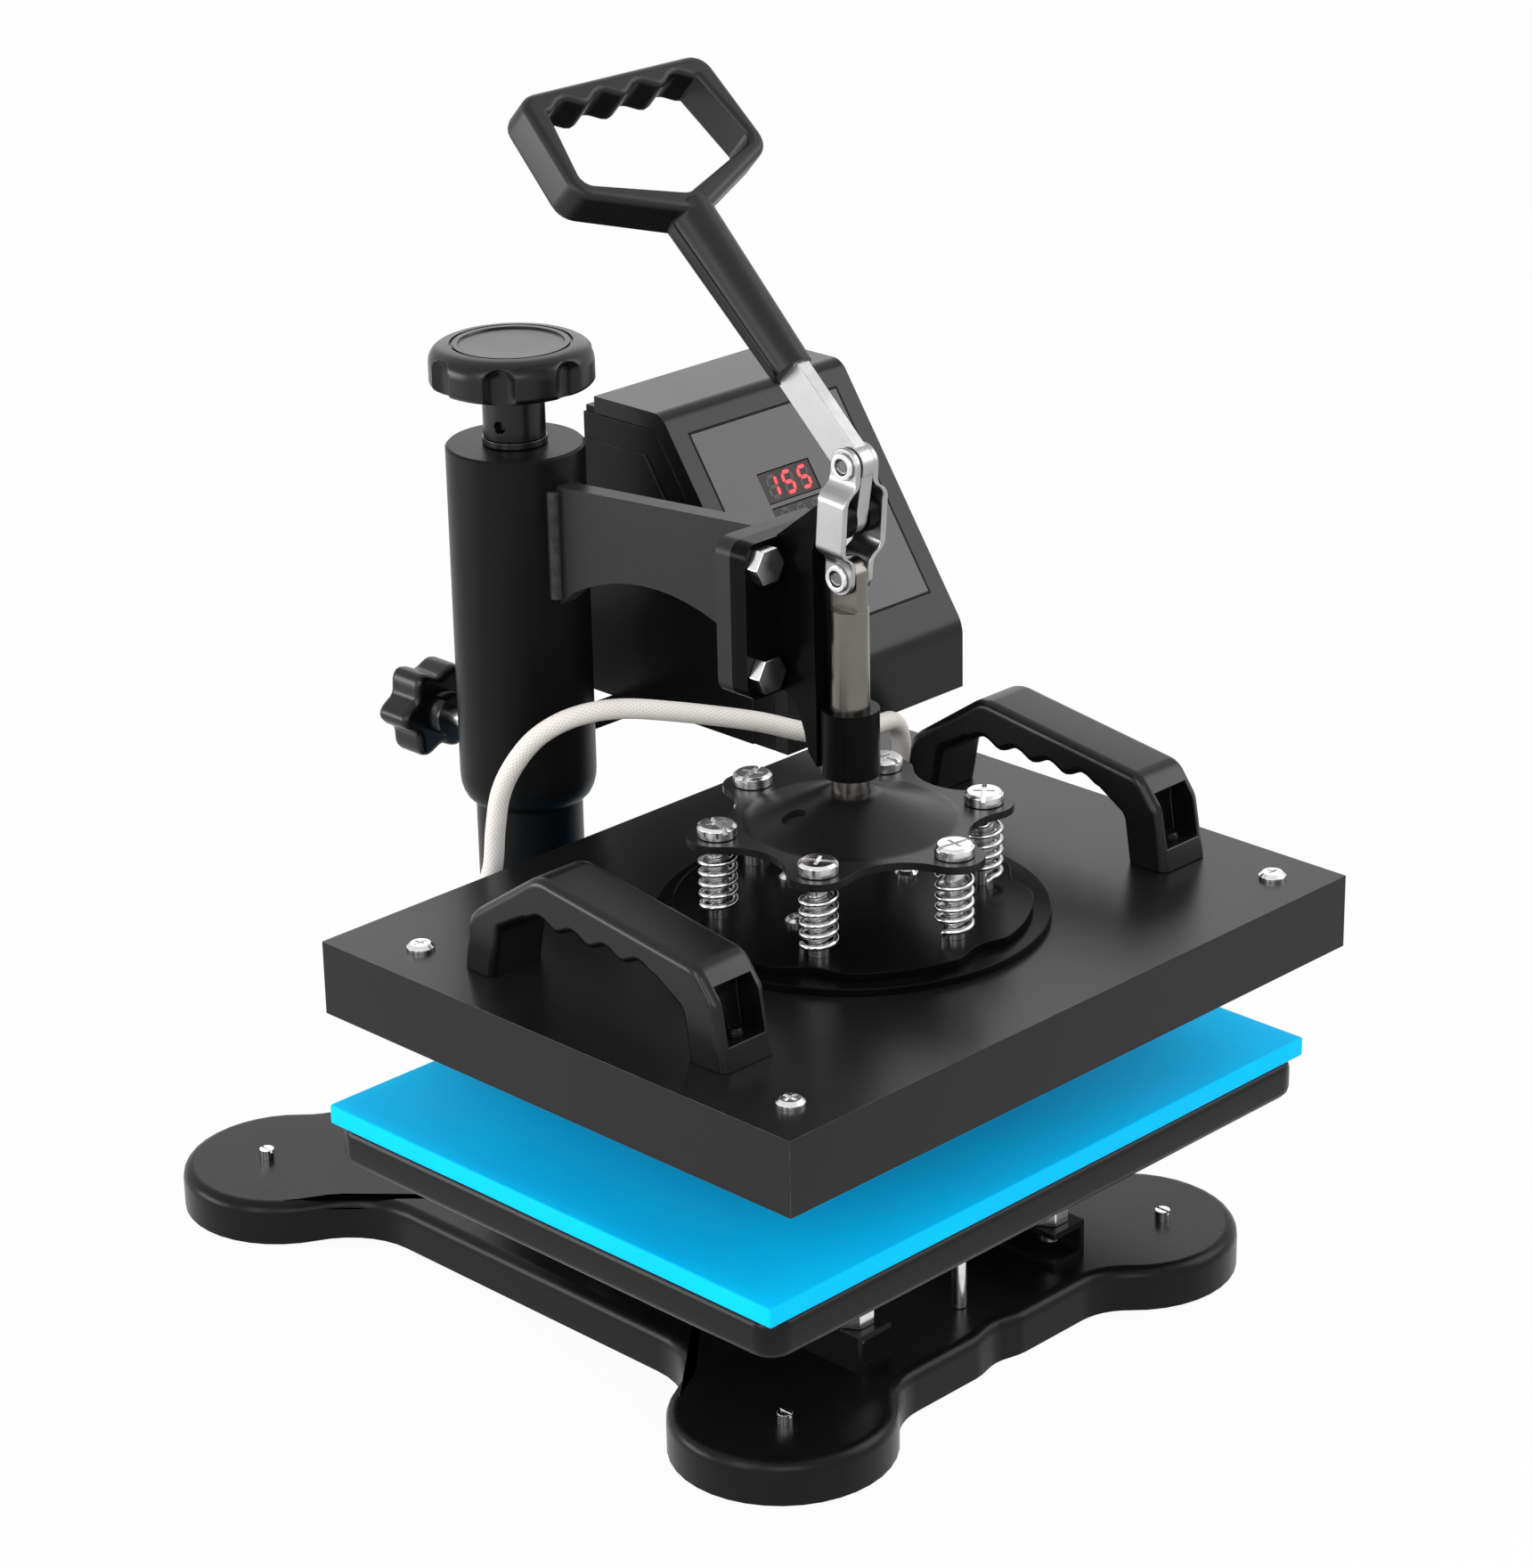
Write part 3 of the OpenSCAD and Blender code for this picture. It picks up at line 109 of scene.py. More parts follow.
class Tree:
    """A short way to add nodes to one material or group."""

    def __init__(self, tree):
        self.tree = tree

    def add(self, kind, **settings):
        node = self.tree.nodes.new("ShaderNode" + kind)
        for key, value in settings.items():
            setattr(node, key, value)
        return node

    def link(self, source, target):
        self.tree.links.new(source, target)

    def feed(self, value, target):
        if isinstance(value, bpy.types.NodeSocket):
            self.link(value, target)
        else:
            target.default_value = value

    def math(self, operation, a, b=0.0, clamp=False):
        node = self.add("Math", operation=operation, use_clamp=clamp)
        self.feed(a, node.inputs[0])
        self.feed(b, node.inputs[1])
        return node.outputs[0]

    def spread(self, value, low, high, to_low=0.0, to_high=1.0):
        node = self.add("MapRange", interpolation_type="SMOOTHSTEP")
        for socket, item in zip(node.inputs, (value, low, high, to_low, to_high)):
            self.feed(item, socket)
        return node.outputs[0]

    def noise(self, where, scale, detail=2.0, rough=0.5):
        node = self.add("TexNoise")
        self.link(where, node.inputs["Vector"])
        self.feed(scale, node.inputs["Scale"])
        node.inputs["Detail"].default_value = detail
        node.inputs["Roughness"].default_value = rough
        return node.outputs["Fac"]

    def mixed(self, share, a, b):
        node = self.add("Mix", data_type="RGBA")
        self.feed(share, node.inputs["Factor"])
        self.feed(a, node.inputs["A"])
        self.feed(b, node.inputs["B"])
        return next(o for o in node.outputs if o.type == "RGBA")


def new_group(name, inputs, outputs):
    tree = bpy.data.node_groups.new(name, "ShaderNodeTree")
    for label, value in inputs:
        socket = tree.interface.new_socket(label, in_out="INPUT", socket_type="NodeSocketFloat")
        socket.default_value = value
    for label in outputs:
        tree.interface.new_socket(label, in_out="OUTPUT", socket_type="NodeSocketFloat")
    t = Tree(tree)
    source = tree.nodes.new("NodeGroupInput")
    sink = tree.nodes.new("NodeGroupOutput")
    where = t.add("TexCoord").outputs["Object"]
    return t, source.outputs, sink.inputs, where


def coat_grain():
    """Fine orange peel of sprayed paint, with soft patches of gloss."""
    t, give, take, where = new_group(
        "coat_grain", [("Grain per metre", 900.0), ("Patches per metre", 18.0)], ["Height", "Patches"])
    fine = t.noise(where, give["Grain per metre"], 3.0, 0.6)
    coarse = t.noise(where, t.math("MULTIPLY", give["Grain per metre"], 0.32), 2.0)
    t.link(t.math("ADD", fine, t.math("MULTIPLY", coarse, 0.8)), take["Height"])
    t.link(t.spread(t.noise(where, give["Patches per metre"], 4.0, 0.6), 0.3, 0.7), take["Patches"])
    return t.tree


def edge_and_dust():
    """Where edges rub bright and carry a painted highlight, where dust settles on what faces up, and painted
    shade inside sunk sockets.
    """
    t, give, take, where = new_group(
        "edge_and_dust",
        [("Edge", 0.5), ("Dust", 0.3), ("Scratches per metre", 140.0)],
        ["Worn", "Dusty", "Socket shade"])
    shape = t.add("NewGeometry")
    ridge = t.add("Attribute", attribute_name="rounded_edge").outputs["Fac"]
    broken = t.spread(t.noise(where, give["Scratches per metre"], 5.0, 0.65), 0.30, 0.62)
    t.link(t.math("MULTIPLY", t.math("MULTIPLY", ridge, broken), give["Edge"]), take["Worn"])
    split = t.add("SeparateXYZ")
    t.link(shape.outputs["Normal"], split.inputs[0])
    level = t.spread(split.outputs["Z"], 0.55, 1.0)
    specks = t.spread(t.noise(where, 60.0, 6.0, 0.7), 0.38, 0.8)
    t.link(t.math("MULTIPLY", t.math("MULTIPLY", level, specks), give["Dust"]), take["Dusty"])
    t.link(t.add("Attribute", attribute_name="sunk").outputs["Fac"], take["Socket shade"])
    return t.tree


def brush_lines():
    """Long fine lines left by a belt or a lathe tool, drawn out along one axis."""
    t, give, take, where = new_group(
        "brush_lines",
        [("Along X", 1.0), ("Along Y", 1.0), ("Along Z", 1.0), ("Lines per metre", 700.0)],
        ["Height", "Tone"])
    stretch = t.add("CombineXYZ")
    for k, axis in enumerate("XYZ"):
        t.link(give["Along " + axis], stretch.inputs[k])
    drawn = t.add("VectorMath", operation="MULTIPLY")
    t.link(where, drawn.inputs[0])
    t.link(stretch.outputs[0], drawn.inputs[1])
    lines = t.noise(drawn.outputs[0], give["Lines per metre"], 4.0, 0.6)
    t.link(lines, take["Height"])
    t.link(t.spread(t.noise(where, 55.0, 4.0, 0.6), 0.3, 0.72), take["Tone"])
    return t.tree


def braid_weave():
    """Two sets of threads crossing round a sleeve, from its length and turn coordinates, with a mask of the
    gaps between them for painted shade.
    """
    t, give, take, _ = new_group(
        "braid_weave", [("Threads round", 16.0), ("Turns per metre", 420.0)], ["Height", "Thread gap shade"])
    lie = t.add("TexCoord").outputs["UV"]
    split = t.add("SeparateXYZ")
    t.link(lie, split.inputs[0])
    round_way = t.math("MULTIPLY", split.outputs["X"], give["Threads round"])
    long_way = t.math("MULTIPLY", split.outputs["Y"], give["Turns per metre"])
    waves = []
    for way in ("ADD", "SUBTRACT"):
        phase = t.math("MULTIPLY", t.math(way, round_way, long_way), 2 * math.pi)
        waves.append(t.math("SINE", phase))
    over = t.math("MAXIMUM", waves[0], waves[1])
    t.link(t.spread(over, -0.4, 1.0), take["Height"])
    t.link(t.spread(over, 0.35, -0.35), take["Thread gap shade"])
    return t.tree


def foam_cells():
    """Closed cells of silicone foam, cut through on the sides and skinned on top."""
    t, give, take, where = new_group("foam_cells", [("Cells per metre", 900.0)], ["Height", "Tone"])
    cells = t.add("TexVoronoi")
    t.link(where, cells.inputs["Vector"])
    t.link(give["Cells per metre"], cells.inputs["Scale"])
    t.link(t.spread(cells.outputs["Distance"], 0.1, 0.7), take["Height"])
    t.link(t.spread(t.noise(where, 26.0, 5.0, 0.65), 0.3, 0.7), take["Tone"])
    return t.tree


GROUPS = {g.name: g for g in (coat_grain(), edge_and_dust(), brush_lines(), braid_weave(), foam_cells())}


def new_material(name):
    material = bpy.data.materials.new(name)
    material.use_nodes = True
    t = Tree(material.node_tree)
    shader = material.node_tree.nodes["Principled BSDF"]
    return material, t, shader


def put_group(t, name, **values):
    node = t.add("Group")
    node.node_tree = GROUPS[name]
    for key, value in values.items():
        node.inputs[key.replace("_", " ")].default_value = value
    return node.outputs


def raise_bump(t, shader, height, depth, distance=0.0004):
    bump = t.add("Bump")
    bump.inputs["Strength"].default_value = depth
    bump.inputs["Distance"].default_value = distance
    t.link(height, bump.inputs["Height"])
    t.link(bump.outputs[0], shader.inputs["Normal"])


def grey(value, tint=(1.0, 1.0, 1.0)):
    return tuple(value * k for k in tint) + (1.0,)


COOL = (0.97, 0.99, 1.05)
DUST = (0.16, 0.16, 0.16, 1.0)


def painted(name, tone, gloss, grain, depth, specular=0.4, edge=0.7, dust=0.012, tint=COOL, bare_and_highlight=0.05):
    """Sprayed or moulded black: peel, gloss patches, worn edges with a painted highlight, and a little dust.
    """
    material, t, shader = new_material(name)
    coat = put_group(t, "coat_grain", Grain_per_metre=grain)
    wear_and_painted_light = put_group(t, "edge_and_dust", Edge=edge, Dust=dust)
    ground = t.mixed(coat["Patches"], grey(tone, tint), grey(tone * 1.06, tint))
    # rounded edges are lightened: wear and a painted highlight
    worn_and_highlit = t.mixed(wear_and_painted_light["Worn"], ground, grey(bare_and_highlight, tint))
    t.link(t.mixed(wear_and_painted_light["Dusty"], worn_and_highlit, DUST), shader.inputs["Base Color"])
    rough = t.spread(coat["Patches"], 0.0, 1.0, gloss - 0.006, gloss + 0.008)
    dust_dull_and_socket_shade = t.math("MULTIPLY", wear_and_painted_light["Dusty"], 0.5)
    t.link(t.math("ADD", rough, dust_dull_and_socket_shade, clamp=True), shader.inputs["Roughness"])
    shader.inputs["Specular IOR Level"].default_value = specular
    raise_bump(t, shader, coat["Height"], depth)
    return material


def bright_metal(name, tone, gloss, tint=(1.0, 1.0, 1.0), along=(1.0, 1.0, 1.0), lines=700.0, depth=0.06,
                 stain=0.86):
    """Plated or ground metal with drawn-out lines, slightly stained patches and painted shade inside sunk
    sockets.
    """
    material, t, shader = new_material(name)
    lathe = put_group(
        t, "brush_lines", Along_X=along[0], Along_Y=along[1], Along_Z=along[2], Lines_per_metre=lines)
    wear_and_painted_light = put_group(t, "edge_and_dust", Edge=0.5, Dust=0.03)
    ground = t.mixed(lathe["Tone"], grey(tone * stain, tint), grey(tone, tint))
    # rounded edges are lightened: wear and a painted highlight
    worn_and_highlit = t.mixed(wear_and_painted_light["Worn"], ground, grey(min(tone * 1.15, 0.95), tint))
    # painted shade: the inside of sunk sockets darkened to about a fifth of the tone
    dust_dull_and_socket_shade = t.mixed(wear_and_painted_light["Socket shade"], worn_and_highlit, grey(tone * 0.22, tint))
    t.link(t.mixed(wear_and_painted_light["Dusty"], dust_dull_and_socket_shade, DUST), shader.inputs["Base Color"])
    shader.inputs["Metallic"].default_value = 1.0
    t.link(t.spread(lathe["Tone"], 0.0, 1.0, gloss + 0.07, gloss - 0.03), shader.inputs["Roughness"])
    raise_bump(t, shader, lathe["Height"], depth, 0.0002)
    return material


def rubber_blue():
    material, t, shader = new_material("blue_silicone")
    foam = put_group(t, "foam_cells", Cells_per_metre=1400.0)
    wear_and_painted_light = put_group(t, "edge_and_dust", Edge=0.25, Dust=0.01)
    ground = t.mixed(foam["Tone"], (0.0, 0.50, 0.92, 1.0), (0.0, 0.54, 0.94, 1.0))
    # rounded edges are lightened: wear and a painted highlight
    worn_and_highlit = t.mixed(wear_and_painted_light["Worn"], ground, (0.01, 0.56, 0.94, 1.0))
    t.link(t.mixed(wear_and_painted_light["Dusty"], worn_and_highlit, DUST), shader.inputs["Base Color"])
    t.link(t.spread(foam["Tone"], 0.0, 1.0, 0.55, 0.64), shader.inputs["Roughness"])
    shader.inputs["Specular IOR Level"].default_value = 0.06
    raise_bump(t, shader, foam["Height"], 0.12, 0.0003)
    return material


def braided_white():
    material, t, shader = new_material("white_braid")
    weave = put_group(t, "braid_weave")
    coat = put_group(t, "coat_grain", Grain_per_metre=1500.0, Patches_per_metre=40.0)
    yarn = t.mixed(coat["Patches"], (0.76, 0.725, 0.69, 1.0), (0.80, 0.77, 0.75, 1.0))
    # the gaps between threads are darkened: painted shade
    t.link(t.mixed(weave["Thread gap shade"], yarn, (0.60, 0.56, 0.51, 1.0)), shader.inputs["Base Color"])
    t.link(t.spread(weave["Height"], 0.0, 1.0, 0.85, 0.62), shader.inputs["Roughness"])
    shader.inputs["Specular IOR Level"].default_value = 0.25
    raise_bump(t, shader, weave["Height"], 0.25, 0.0002)
    return material


def window_film(name, tone, depth=0.02):
    """Tinted clear plastic over a lamp."""
    material, t, shader = new_material(name)
    coat = put_group(t, "coat_grain", Grain_per_metre=2500.0, Patches_per_metre=60.0)
    dim = tuple(k * 0.7 for k in tone[:3]) + (1.0,)
    t.link(t.mixed(coat["Patches"], dim, tone), shader.inputs["Base Color"])
    t.link(t.spread(coat["Patches"], 0.0, 1.0, 0.24, 0.32), shader.inputs["Roughness"])
    shader.inputs["Specular IOR Level"].default_value = 0.2
    raise_bump(t, shader, coat["Height"], depth, 0.0001)
    return material


def lamp_red():
    material, t, shader = new_material("lit_segment")
    coat = put_group(t, "coat_grain", Grain_per_metre=3000.0, Patches_per_metre=300.0)
    glow = t.mixed(coat["Patches"], (0.85, 0.008, 0.02, 1.0), (1.0, 0.03, 0.04, 1.0))
    t.link(glow, shader.inputs["Base Color"])
    t.link(glow, shader.inputs["Emission Color"])
    shader.inputs["Emission Strength"].default_value = 0.9
    shader.inputs["Roughness"].default_value = 0.4
    return material


def fibrous(name, tone):
    """Matted mineral fibres."""
    material, t, shader = new_material(name)
    mat = put_group(t, "brush_lines", Along_X=0.2, Along_Y=1.0, Along_Z=1.0, Lines_per_metre=500.0)
    dark = tuple(k * 0.75 for k in tone[:3]) + (1.0,)
    t.link(t.mixed(mat["Height"], dark, tone), shader.inputs["Base Color"])
    t.link(t.spread(mat["Tone"], 0.0, 1.0, 0.85, 0.95), shader.inputs["Roughness"])
    raise_bump(t, shader, mat["Height"], 0.5, 0.0008)
    return material


FINISH = {
    "black_casting": painted("black_casting", 0.0035, 0.30, 700.0, 0.08, specular=0.15),
    "black_steel": painted("black_steel", 0.0040, 0.34, 1500.0, 0.14, specular=0.11),
    "black_tray": painted("black_tray", 0.0035, 0.30, 900.0, 0.08, specular=0.18),
    # platen cover: a lighter grey on its rounded edges, a painted highlight along them
    "black_cover": painted("black_cover", 0.0055, 0.30, 2200.0, 0.02, specular=0.22, bare_and_highlight=0.12),
    "bright_steel": bright_metal("bright_steel", 0.78, 0.20),
    "zinc_plate": bright_metal("zinc_plate", 0.42, 0.32, along=(1.0, 1.0, 0.12), depth=0.025),
    "ground_steel": bright_metal(
        "ground_steel", 0.17, 0.22, (1.0, 0.93, 0.85), (0.1, 0.1, 1.0), 2500.0, depth=0.03, stain=0.95),
    "black_plastic": painted("black_plastic", 0.0030, 0.29, 900.0, 0.02, specular=0.30),
    "rubber_feet": painted("rubber_feet", 0.0100, 0.70, 500.0, 0.20, specular=0.2, edge=0.05),
    "blue_silicone": rubber_blue(),
    "aluminium_plate": bright_metal("aluminium_plate", 0.55, 0.42, along=(0.05, 1.0, 1.0)),
    "mineral_wool": fibrous("mineral_wool", (0.62, 0.57, 0.48, 1.0)),
    "panel_film": painted("panel_film", 0.0200, 0.30, 2600.0, 0.03, 0.45, tint=(1.04, 0.96, 1.06)),
    "red_window": window_film("red_window", (0.014, 0.003, 0.004, 1.0)),
    "dark_window": window_film("dark_window", (0.012, 0.009, 0.010, 1.0)),
    "circuit_board": painted("circuit_board", 0.08, 0.4, 1200.0, 0.05, 0.4, tint=(0.4, 1.3, 0.6)),
    "white_braid": braided_white(),
    "grey_keys": painted("grey_keys", 0.07, 0.42, 1300.0, 0.06, 0.4),
    "red_rocker": window_film("red_rocker", (0.45, 0.012, 0.010, 1.0)),
}
BOX_BLACK = painted("box_black", 0.0045, 0.28, 2000.0, 0.04, specular=0.12)
COVER_BLACK = painted("cover_black", 0.0045, 0.26, 2000.0, 0.03, specular=0.22)
# a darker copy of the black: painted shade for the bracket and discs, which sit in shade, and for the gap
# line round the panel film
SHADE_BLACK = painted("shade_black", 0.0022, 0.24, 1600.0, 0.10, specular=0.05)
SATIN_BLACK = painted("satin_black", 0.0040, 0.32, 900.0, 0.05, specular=0.24)
# a lighter copy of the black for the arm: painted light, standing for the lamp light on its side
LIT_SATIN_GREY = painted("lit_satin_grey", 0.0170, 0.36, 1500.0, 0.10, specular=0.16)
SATIN_HANDLE = painted("satin_handle", 0.0030, 0.40, 900.0, 0.015, specular=0.34)
# a dark copy of the bright steel: painted shade for the thrust ring, which sits recessed under the knob's
# collar
SHADED_RING = bright_metal("shaded_ring", 0.06, 0.26)
LIT = lamp_red()
UNLIT = painted("unlit_segment", 0.030, 0.35, 2500.0, 0.02, 0.3, edge=0.0, dust=0.0)


# Pieces

def keep(piece, body, slot, *nodes, finish=None):
    """Puts a finished piece on its body, with its finish, in place of the CAD nodes it stands for."""
    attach(piece, body)
    dress_only(piece, slot, *nodes, finish=finish)


def dress_only(piece, slot, *nodes, finish=None):
    """As keep, without putting the piece on a body."""
    piece.data.materials.clear()
    piece.data.materials.append(finish or FINISH[slot])
    if nodes:
        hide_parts(*nodes)


def new_piece(name, mesh):
    piece = bpy.data.objects.new(name, mesh)
    bpy.context.scene.collection.objects.link(piece)
    return piece


def settle(piece):
    """Applies a piece's modifiers to its mesh."""
    bpy.context.view_layer.update()
    graph = bpy.context.evaluated_depsgraph_get()
    mesh = bpy.data.meshes.new_from_object(piece.evaluated_get(graph))
    piece.modifiers.clear()
    piece.data = mesh


def smooth(mesh, crease):
    mesh.polygons.foreach_set("use_smooth", [True] * len(mesh.polygons))
    mesh.set_sharp_from_angle(angle=math.radians(crease))


def mesh_from(name, points, faces, crease):
    mesh = bpy.data.meshes.new(name)
    mesh.from_pydata([tuple(p) for p in points], [], faces)
    mesh.validate()
    smooth(mesh, crease)
    return mesh


# nodes with a finish of their own, other than their slot's
OWN_FINISH = {
    "box_shell": BOX_BLACK, "box_cover": COVER_BLACK, "bracket": SHADE_BLACK, "disc_lower": SHADE_BLACK,
    "disc_upper": SHADE_BLACK, "thrust_ring": SHADED_RING, "spider": SATIN_BLACK, "arm": LIT_SATIN_GREY,
    "lever_handle": SATIN_HANDLE,
}

# folded sheet: how far each bend is rounded and the least length of a bend, in millimetres
BENDS = {"box_cover": (4.0, 90.0), "link_left": (2.4, 9.0), "link_right": (2.4, 9.0)}
BEND_ANGLES = (0.3, 1.3)
FOLD_STEPS = 6
# rivets with a round socket sunk in their outer ends: the rim's share of the radius, the depth in millimetres
SOCKETS = {"link_rivets": (0.42, 1.3)}
SOCKET_WALL = 0.06
# round bars cut by flats: the place of the axis, and the radius
ROUND_BARS = {"plunger": (0.0, PLUNGER_Y, 7.4 * MM)}
# painted nodes whose rounded edges rub thin and carry a painted highlight
RUBBED_AND_HIGHLIT = ("platen_cover", "box_cover", "box_shell", "arm")
EASE_STEPS = 2
CREASE = 38.0


def mark_bends(shape, least):
    """Picks the bends of a folded sheet, not the square edges of its flanges."""
    weight = shape.edges.layers.float.new("bevel_weight_edge")
    for edge in shape.edges:
        if len(edge.link_faces) == 2 and edge.calc_length() > least * MM:
            if BEND_ANGLES[0] < edge.calc_face_angle() < BEND_ANGLES[1]:
                edge[weight] = 1.0


def sink_sockets(shape, share, depth):
    """Sinks a round socket into each flat round end that faces outward, and marks its inside for painted
    shade.
    """
    dust_dull_and_socket_shade = shape.loops.layers.float.new("sunk")
    ends = [f for f in shape.faces if abs(f.normal.x) > 0.99 and len(f.verts) > 10]
    for face in [f for f in ends if f.normal.x * f.calc_center_median().x > 0]:
        radius = math.sqrt(face.calc_area() / math.pi)
        bmesh.ops.inset_individual(shape, faces=[face], thickness=radius * share)
        wall = bmesh.ops.inset_individual(
            shape, faces=[face], thickness=radius * SOCKET_WALL, depth=-depth * MM)
        # the socket's wall and floor are marked for painted shade
        for loop in [loop for f in wall["faces"] + [face] for loop in f.loops]:
            loop[dust_dull_and_socket_shade] = 1.0


def round_off(mesh, x, y, radius):
    """Turns the shading of an upright bar's round faces to follow the true cylinder."""
    turned = [Vector(n.vector) for n in mesh.corner_normals]
    for face in mesh.polygons:
        out = [mesh.vertices[v].co - Vector((x, y, mesh.vertices[v].co.z)) for v in face.vertices]
        if abs(face.normal.z) < 0.1 and all(abs(o.length - radius) < 0.1 * MM for o in out):
            for loop, o in zip(face.loop_indices, out):
                turned[loop] = o.normalized()
    mesh.normals_split_custom_set(turned)


def mark_rounded(mesh, edge):
    """Marks the narrow strips that round the edges, where paint rubs thin and a painted highlight is laid."""
    strip = mesh.attributes.new("rounded_edge", "FLOAT", "CORNER")
    for face in mesh.polygons:
        ring = [mesh.vertices[v].co for v in face.vertices]
        girth = sum((a - b).length for a, b in zip(ring, ring[1:] + ring[:1]))
        square = max(abs(k) for k in face.normal) > 0.99
        narrow = not square and face.area / girth * 2 < edge * 0.9 * MM
        for loop in face.loop_indices:
            strip.data[loop].value = 1.0 if narrow else 0.0


def cleaned(node):
    """A copy of a CAD node's mesh with its flat faces whole, its bends marked and its sockets sunk."""
    mesh = frame["nodes"][node].data.copy()
    mesh.name = node + "_eased"
    shape = bmesh.new()
    shape.from_mesh(mesh)
    bmesh.ops.remove_doubles(shape, verts=shape.verts, dist=2e-6)
    bmesh.ops.dissolve_limit(
        shape, angle_limit=math.radians(0.5), verts=shape.verts[:], edges=shape.edges[:])
    bmesh.ops.recalc_face_normals(shape, faces=shape.faces)
    if node in BENDS:
        mark_bends(shape, BENDS[node][1])
    if node in SOCKETS:
        sink_sockets(shape, *SOCKETS[node])
    shape.to_mesh(mesh)
    shape.free()
    smooth(mesh, CREASE)
    return mesh


def eased(node, edge):
    """A CAD node with its sharp edges rounded by edge, in millimetres."""
    piece = new_piece(node + "_eased", cleaned(node))
    if node in BENDS:
        fold = piece.modifiers.new("fold", "BEVEL")
        fold.width = BENDS[node][0] * MM
        fold.segments = FOLD_STEPS
        fold.limit_method = "WEIGHT"
        settle(piece)
    if edge:
        bevel = piece.modifiers.new("ease", "BEVEL")
        bevel.width = edge * MM
        bevel.segments = EASE_STEPS
        bevel.limit_method = "ANGLE"
        bevel.angle_limit = math.radians(CREASE)
        bevel.harden_normals = True
    weigh = piece.modifiers.new("weigh", "WEIGHTED_NORMAL")
    weigh.keep_sharp = True
    settle(piece)
    if node in RUBBED_AND_HIGHLIT:
        mark_rounded(piece.data, edge)
    if node in ROUND_BARS:
        round_off(piece.data, *ROUND_BARS[node])
    keep(piece, BODY_OF[node], SLOT_OF[node], node, finish=OWN_FINISH.get(node))


# how far each carried-over node's edges are rounded, in millimetres
EDGES = {
    "base_plate": 0, "base_feet": 0.8, "foot_studs": 0.3, "post": 0.4, "post_nut": 0.3, "rails": 0.4,
    "tray": 0, "tray_studs": 0.5, "tray_nuts": 0.6, "thrust_ring": 0.3, "sleeve": 0.4, "arm": 0.7,
    "bracket": 0.8, "bracket_bolts": 0.7, "pivot_pin": 0.6, "box_bar": 0.5,
    "box_screws": 0.3, "box_shell": 0.6, "box_cover": 1.2, "overlay": 0.12, "temp_display": 0.2,
    "time_display": 0.2, "control_board": 0.2, "mains_inlet": 0.4, "fuse_holder": 0.4,
    "switch_frame": 0.4, "cable_gland": 0.4, "lock_knob": 0, "lock_stud": 0.3,
    "lift_screw": 0.4, "lever_bar": 0.5, "lever_handle": 0, "link_left": 0.6, "link_right": 0.6,
    "link_rivets": 0.6, "plunger": 0.4, "plunger_pin": 0.3, "spider": 0.5, "platen_cover": 1.4,
    "heater_plate": 0.6, "insulation": 0.5, "disc_lower": 0.6, "disc_upper": 0.6, "disc_screws": 0.25,
    "spring_screws": 0.35, "cover_screws": 0.25, "handle_left": 1.2, "handle_right": 1.2,
    "handle_screws": 0.25, "platen_gland": 0.4, "key_set": 0.6, "key_up": 0.6, "key_down": 0.6,
    "power_rocker": 0.5,
}


# Heater cable: the same route as its solid, in millimetres

CABLE_ROUTE = [
    (72, 116.1, 61), (72, 122.1, 61), (72, 128.1, 61), (72, 134.1, 61), (70, 144.1, 58), (63, 152, 51),
    (52, 156, 40), (40, 155, 24), (30, 152, 0), (21, 146, -28), (12, 138, -52), (-8, 134, -66),
    (-30, 116, -62), (-43, 96, -48), (-49, 80, -30), (-50, 68, -10), (-51, 63.5, 10), (-50, 60.5, 25.5),
    (-46, 55.5, 38.5), (-39.5, 48.5, 49.5), (-29.5, 39.5, 56.5), (-15.5, 29.5, 58.5), (3, 18.5, 55),
    (35, 6, 45), (58.5, 0, 35), (82, -1, 27.5), (102, 0.5, 26), (110, 2, 24), (116, 4, 18), (118, 4.5, 10),
    (118, 4.5, 3),
]
CABLE_R = 4 * MM
CABLE_SIDES = 20
CABLE_STEPS = 8


def flowing(points, steps):
    """A smooth line through the points, steps to each stretch."""
    p = np.array(points, float)
    line = []
    for i in range(len(p) - 1):
        a, b, c, d = p[max(i - 1, 0)], p[i], p[i + 1], p[min(i + 2, len(p) - 1)]
        for k in range(steps):
            t = k / steps
            line.append((2 * b + (c - a) * t + (2 * a - 5 * b + 4 * c - d) * t * t
                         + (3 * b - a - 3 * c + d) * t ** 3) / 2)
    return np.array(line + [p[-1]])


def ring_faces(rows, sides):
    """Faces between rings of points, and one that closes each end."""
    faces = [(i * sides + k, i * sides + (k + 1) % sides, (i + 1) * sides + (k + 1) % sides,
              (i + 1) * sides + k) for i in range(rows - 1) for k in range(sides)]
    faces.append(tuple(range(sides - 1, -1, -1)))
    faces.append(tuple((rows - 1) * sides + k for k in range(sides)))
    return faces


def tube(line, radius, sides):
    """Points and faces of a round tube along a line, its ends closed."""
    ahead = np.gradient(line, axis=0)
    ahead /= np.linalg.norm(ahead, axis=1)[:, None]
    side = np.cross(ahead[0], (0.31, 0.17, 0.93))
    points = []
    turn = np.linspace(0, 2 * math.pi, sides, endpoint=False)
    for at, way in zip(line, ahead):
        side = side - way * side.dot(way)
        side /= np.linalg.norm(side)
        other = np.cross(way, side)
        points += [at + radius * (math.cos(a) * side + math.sin(a) * other) for a in turn]
    return points, ring_faces(len(line), sides)


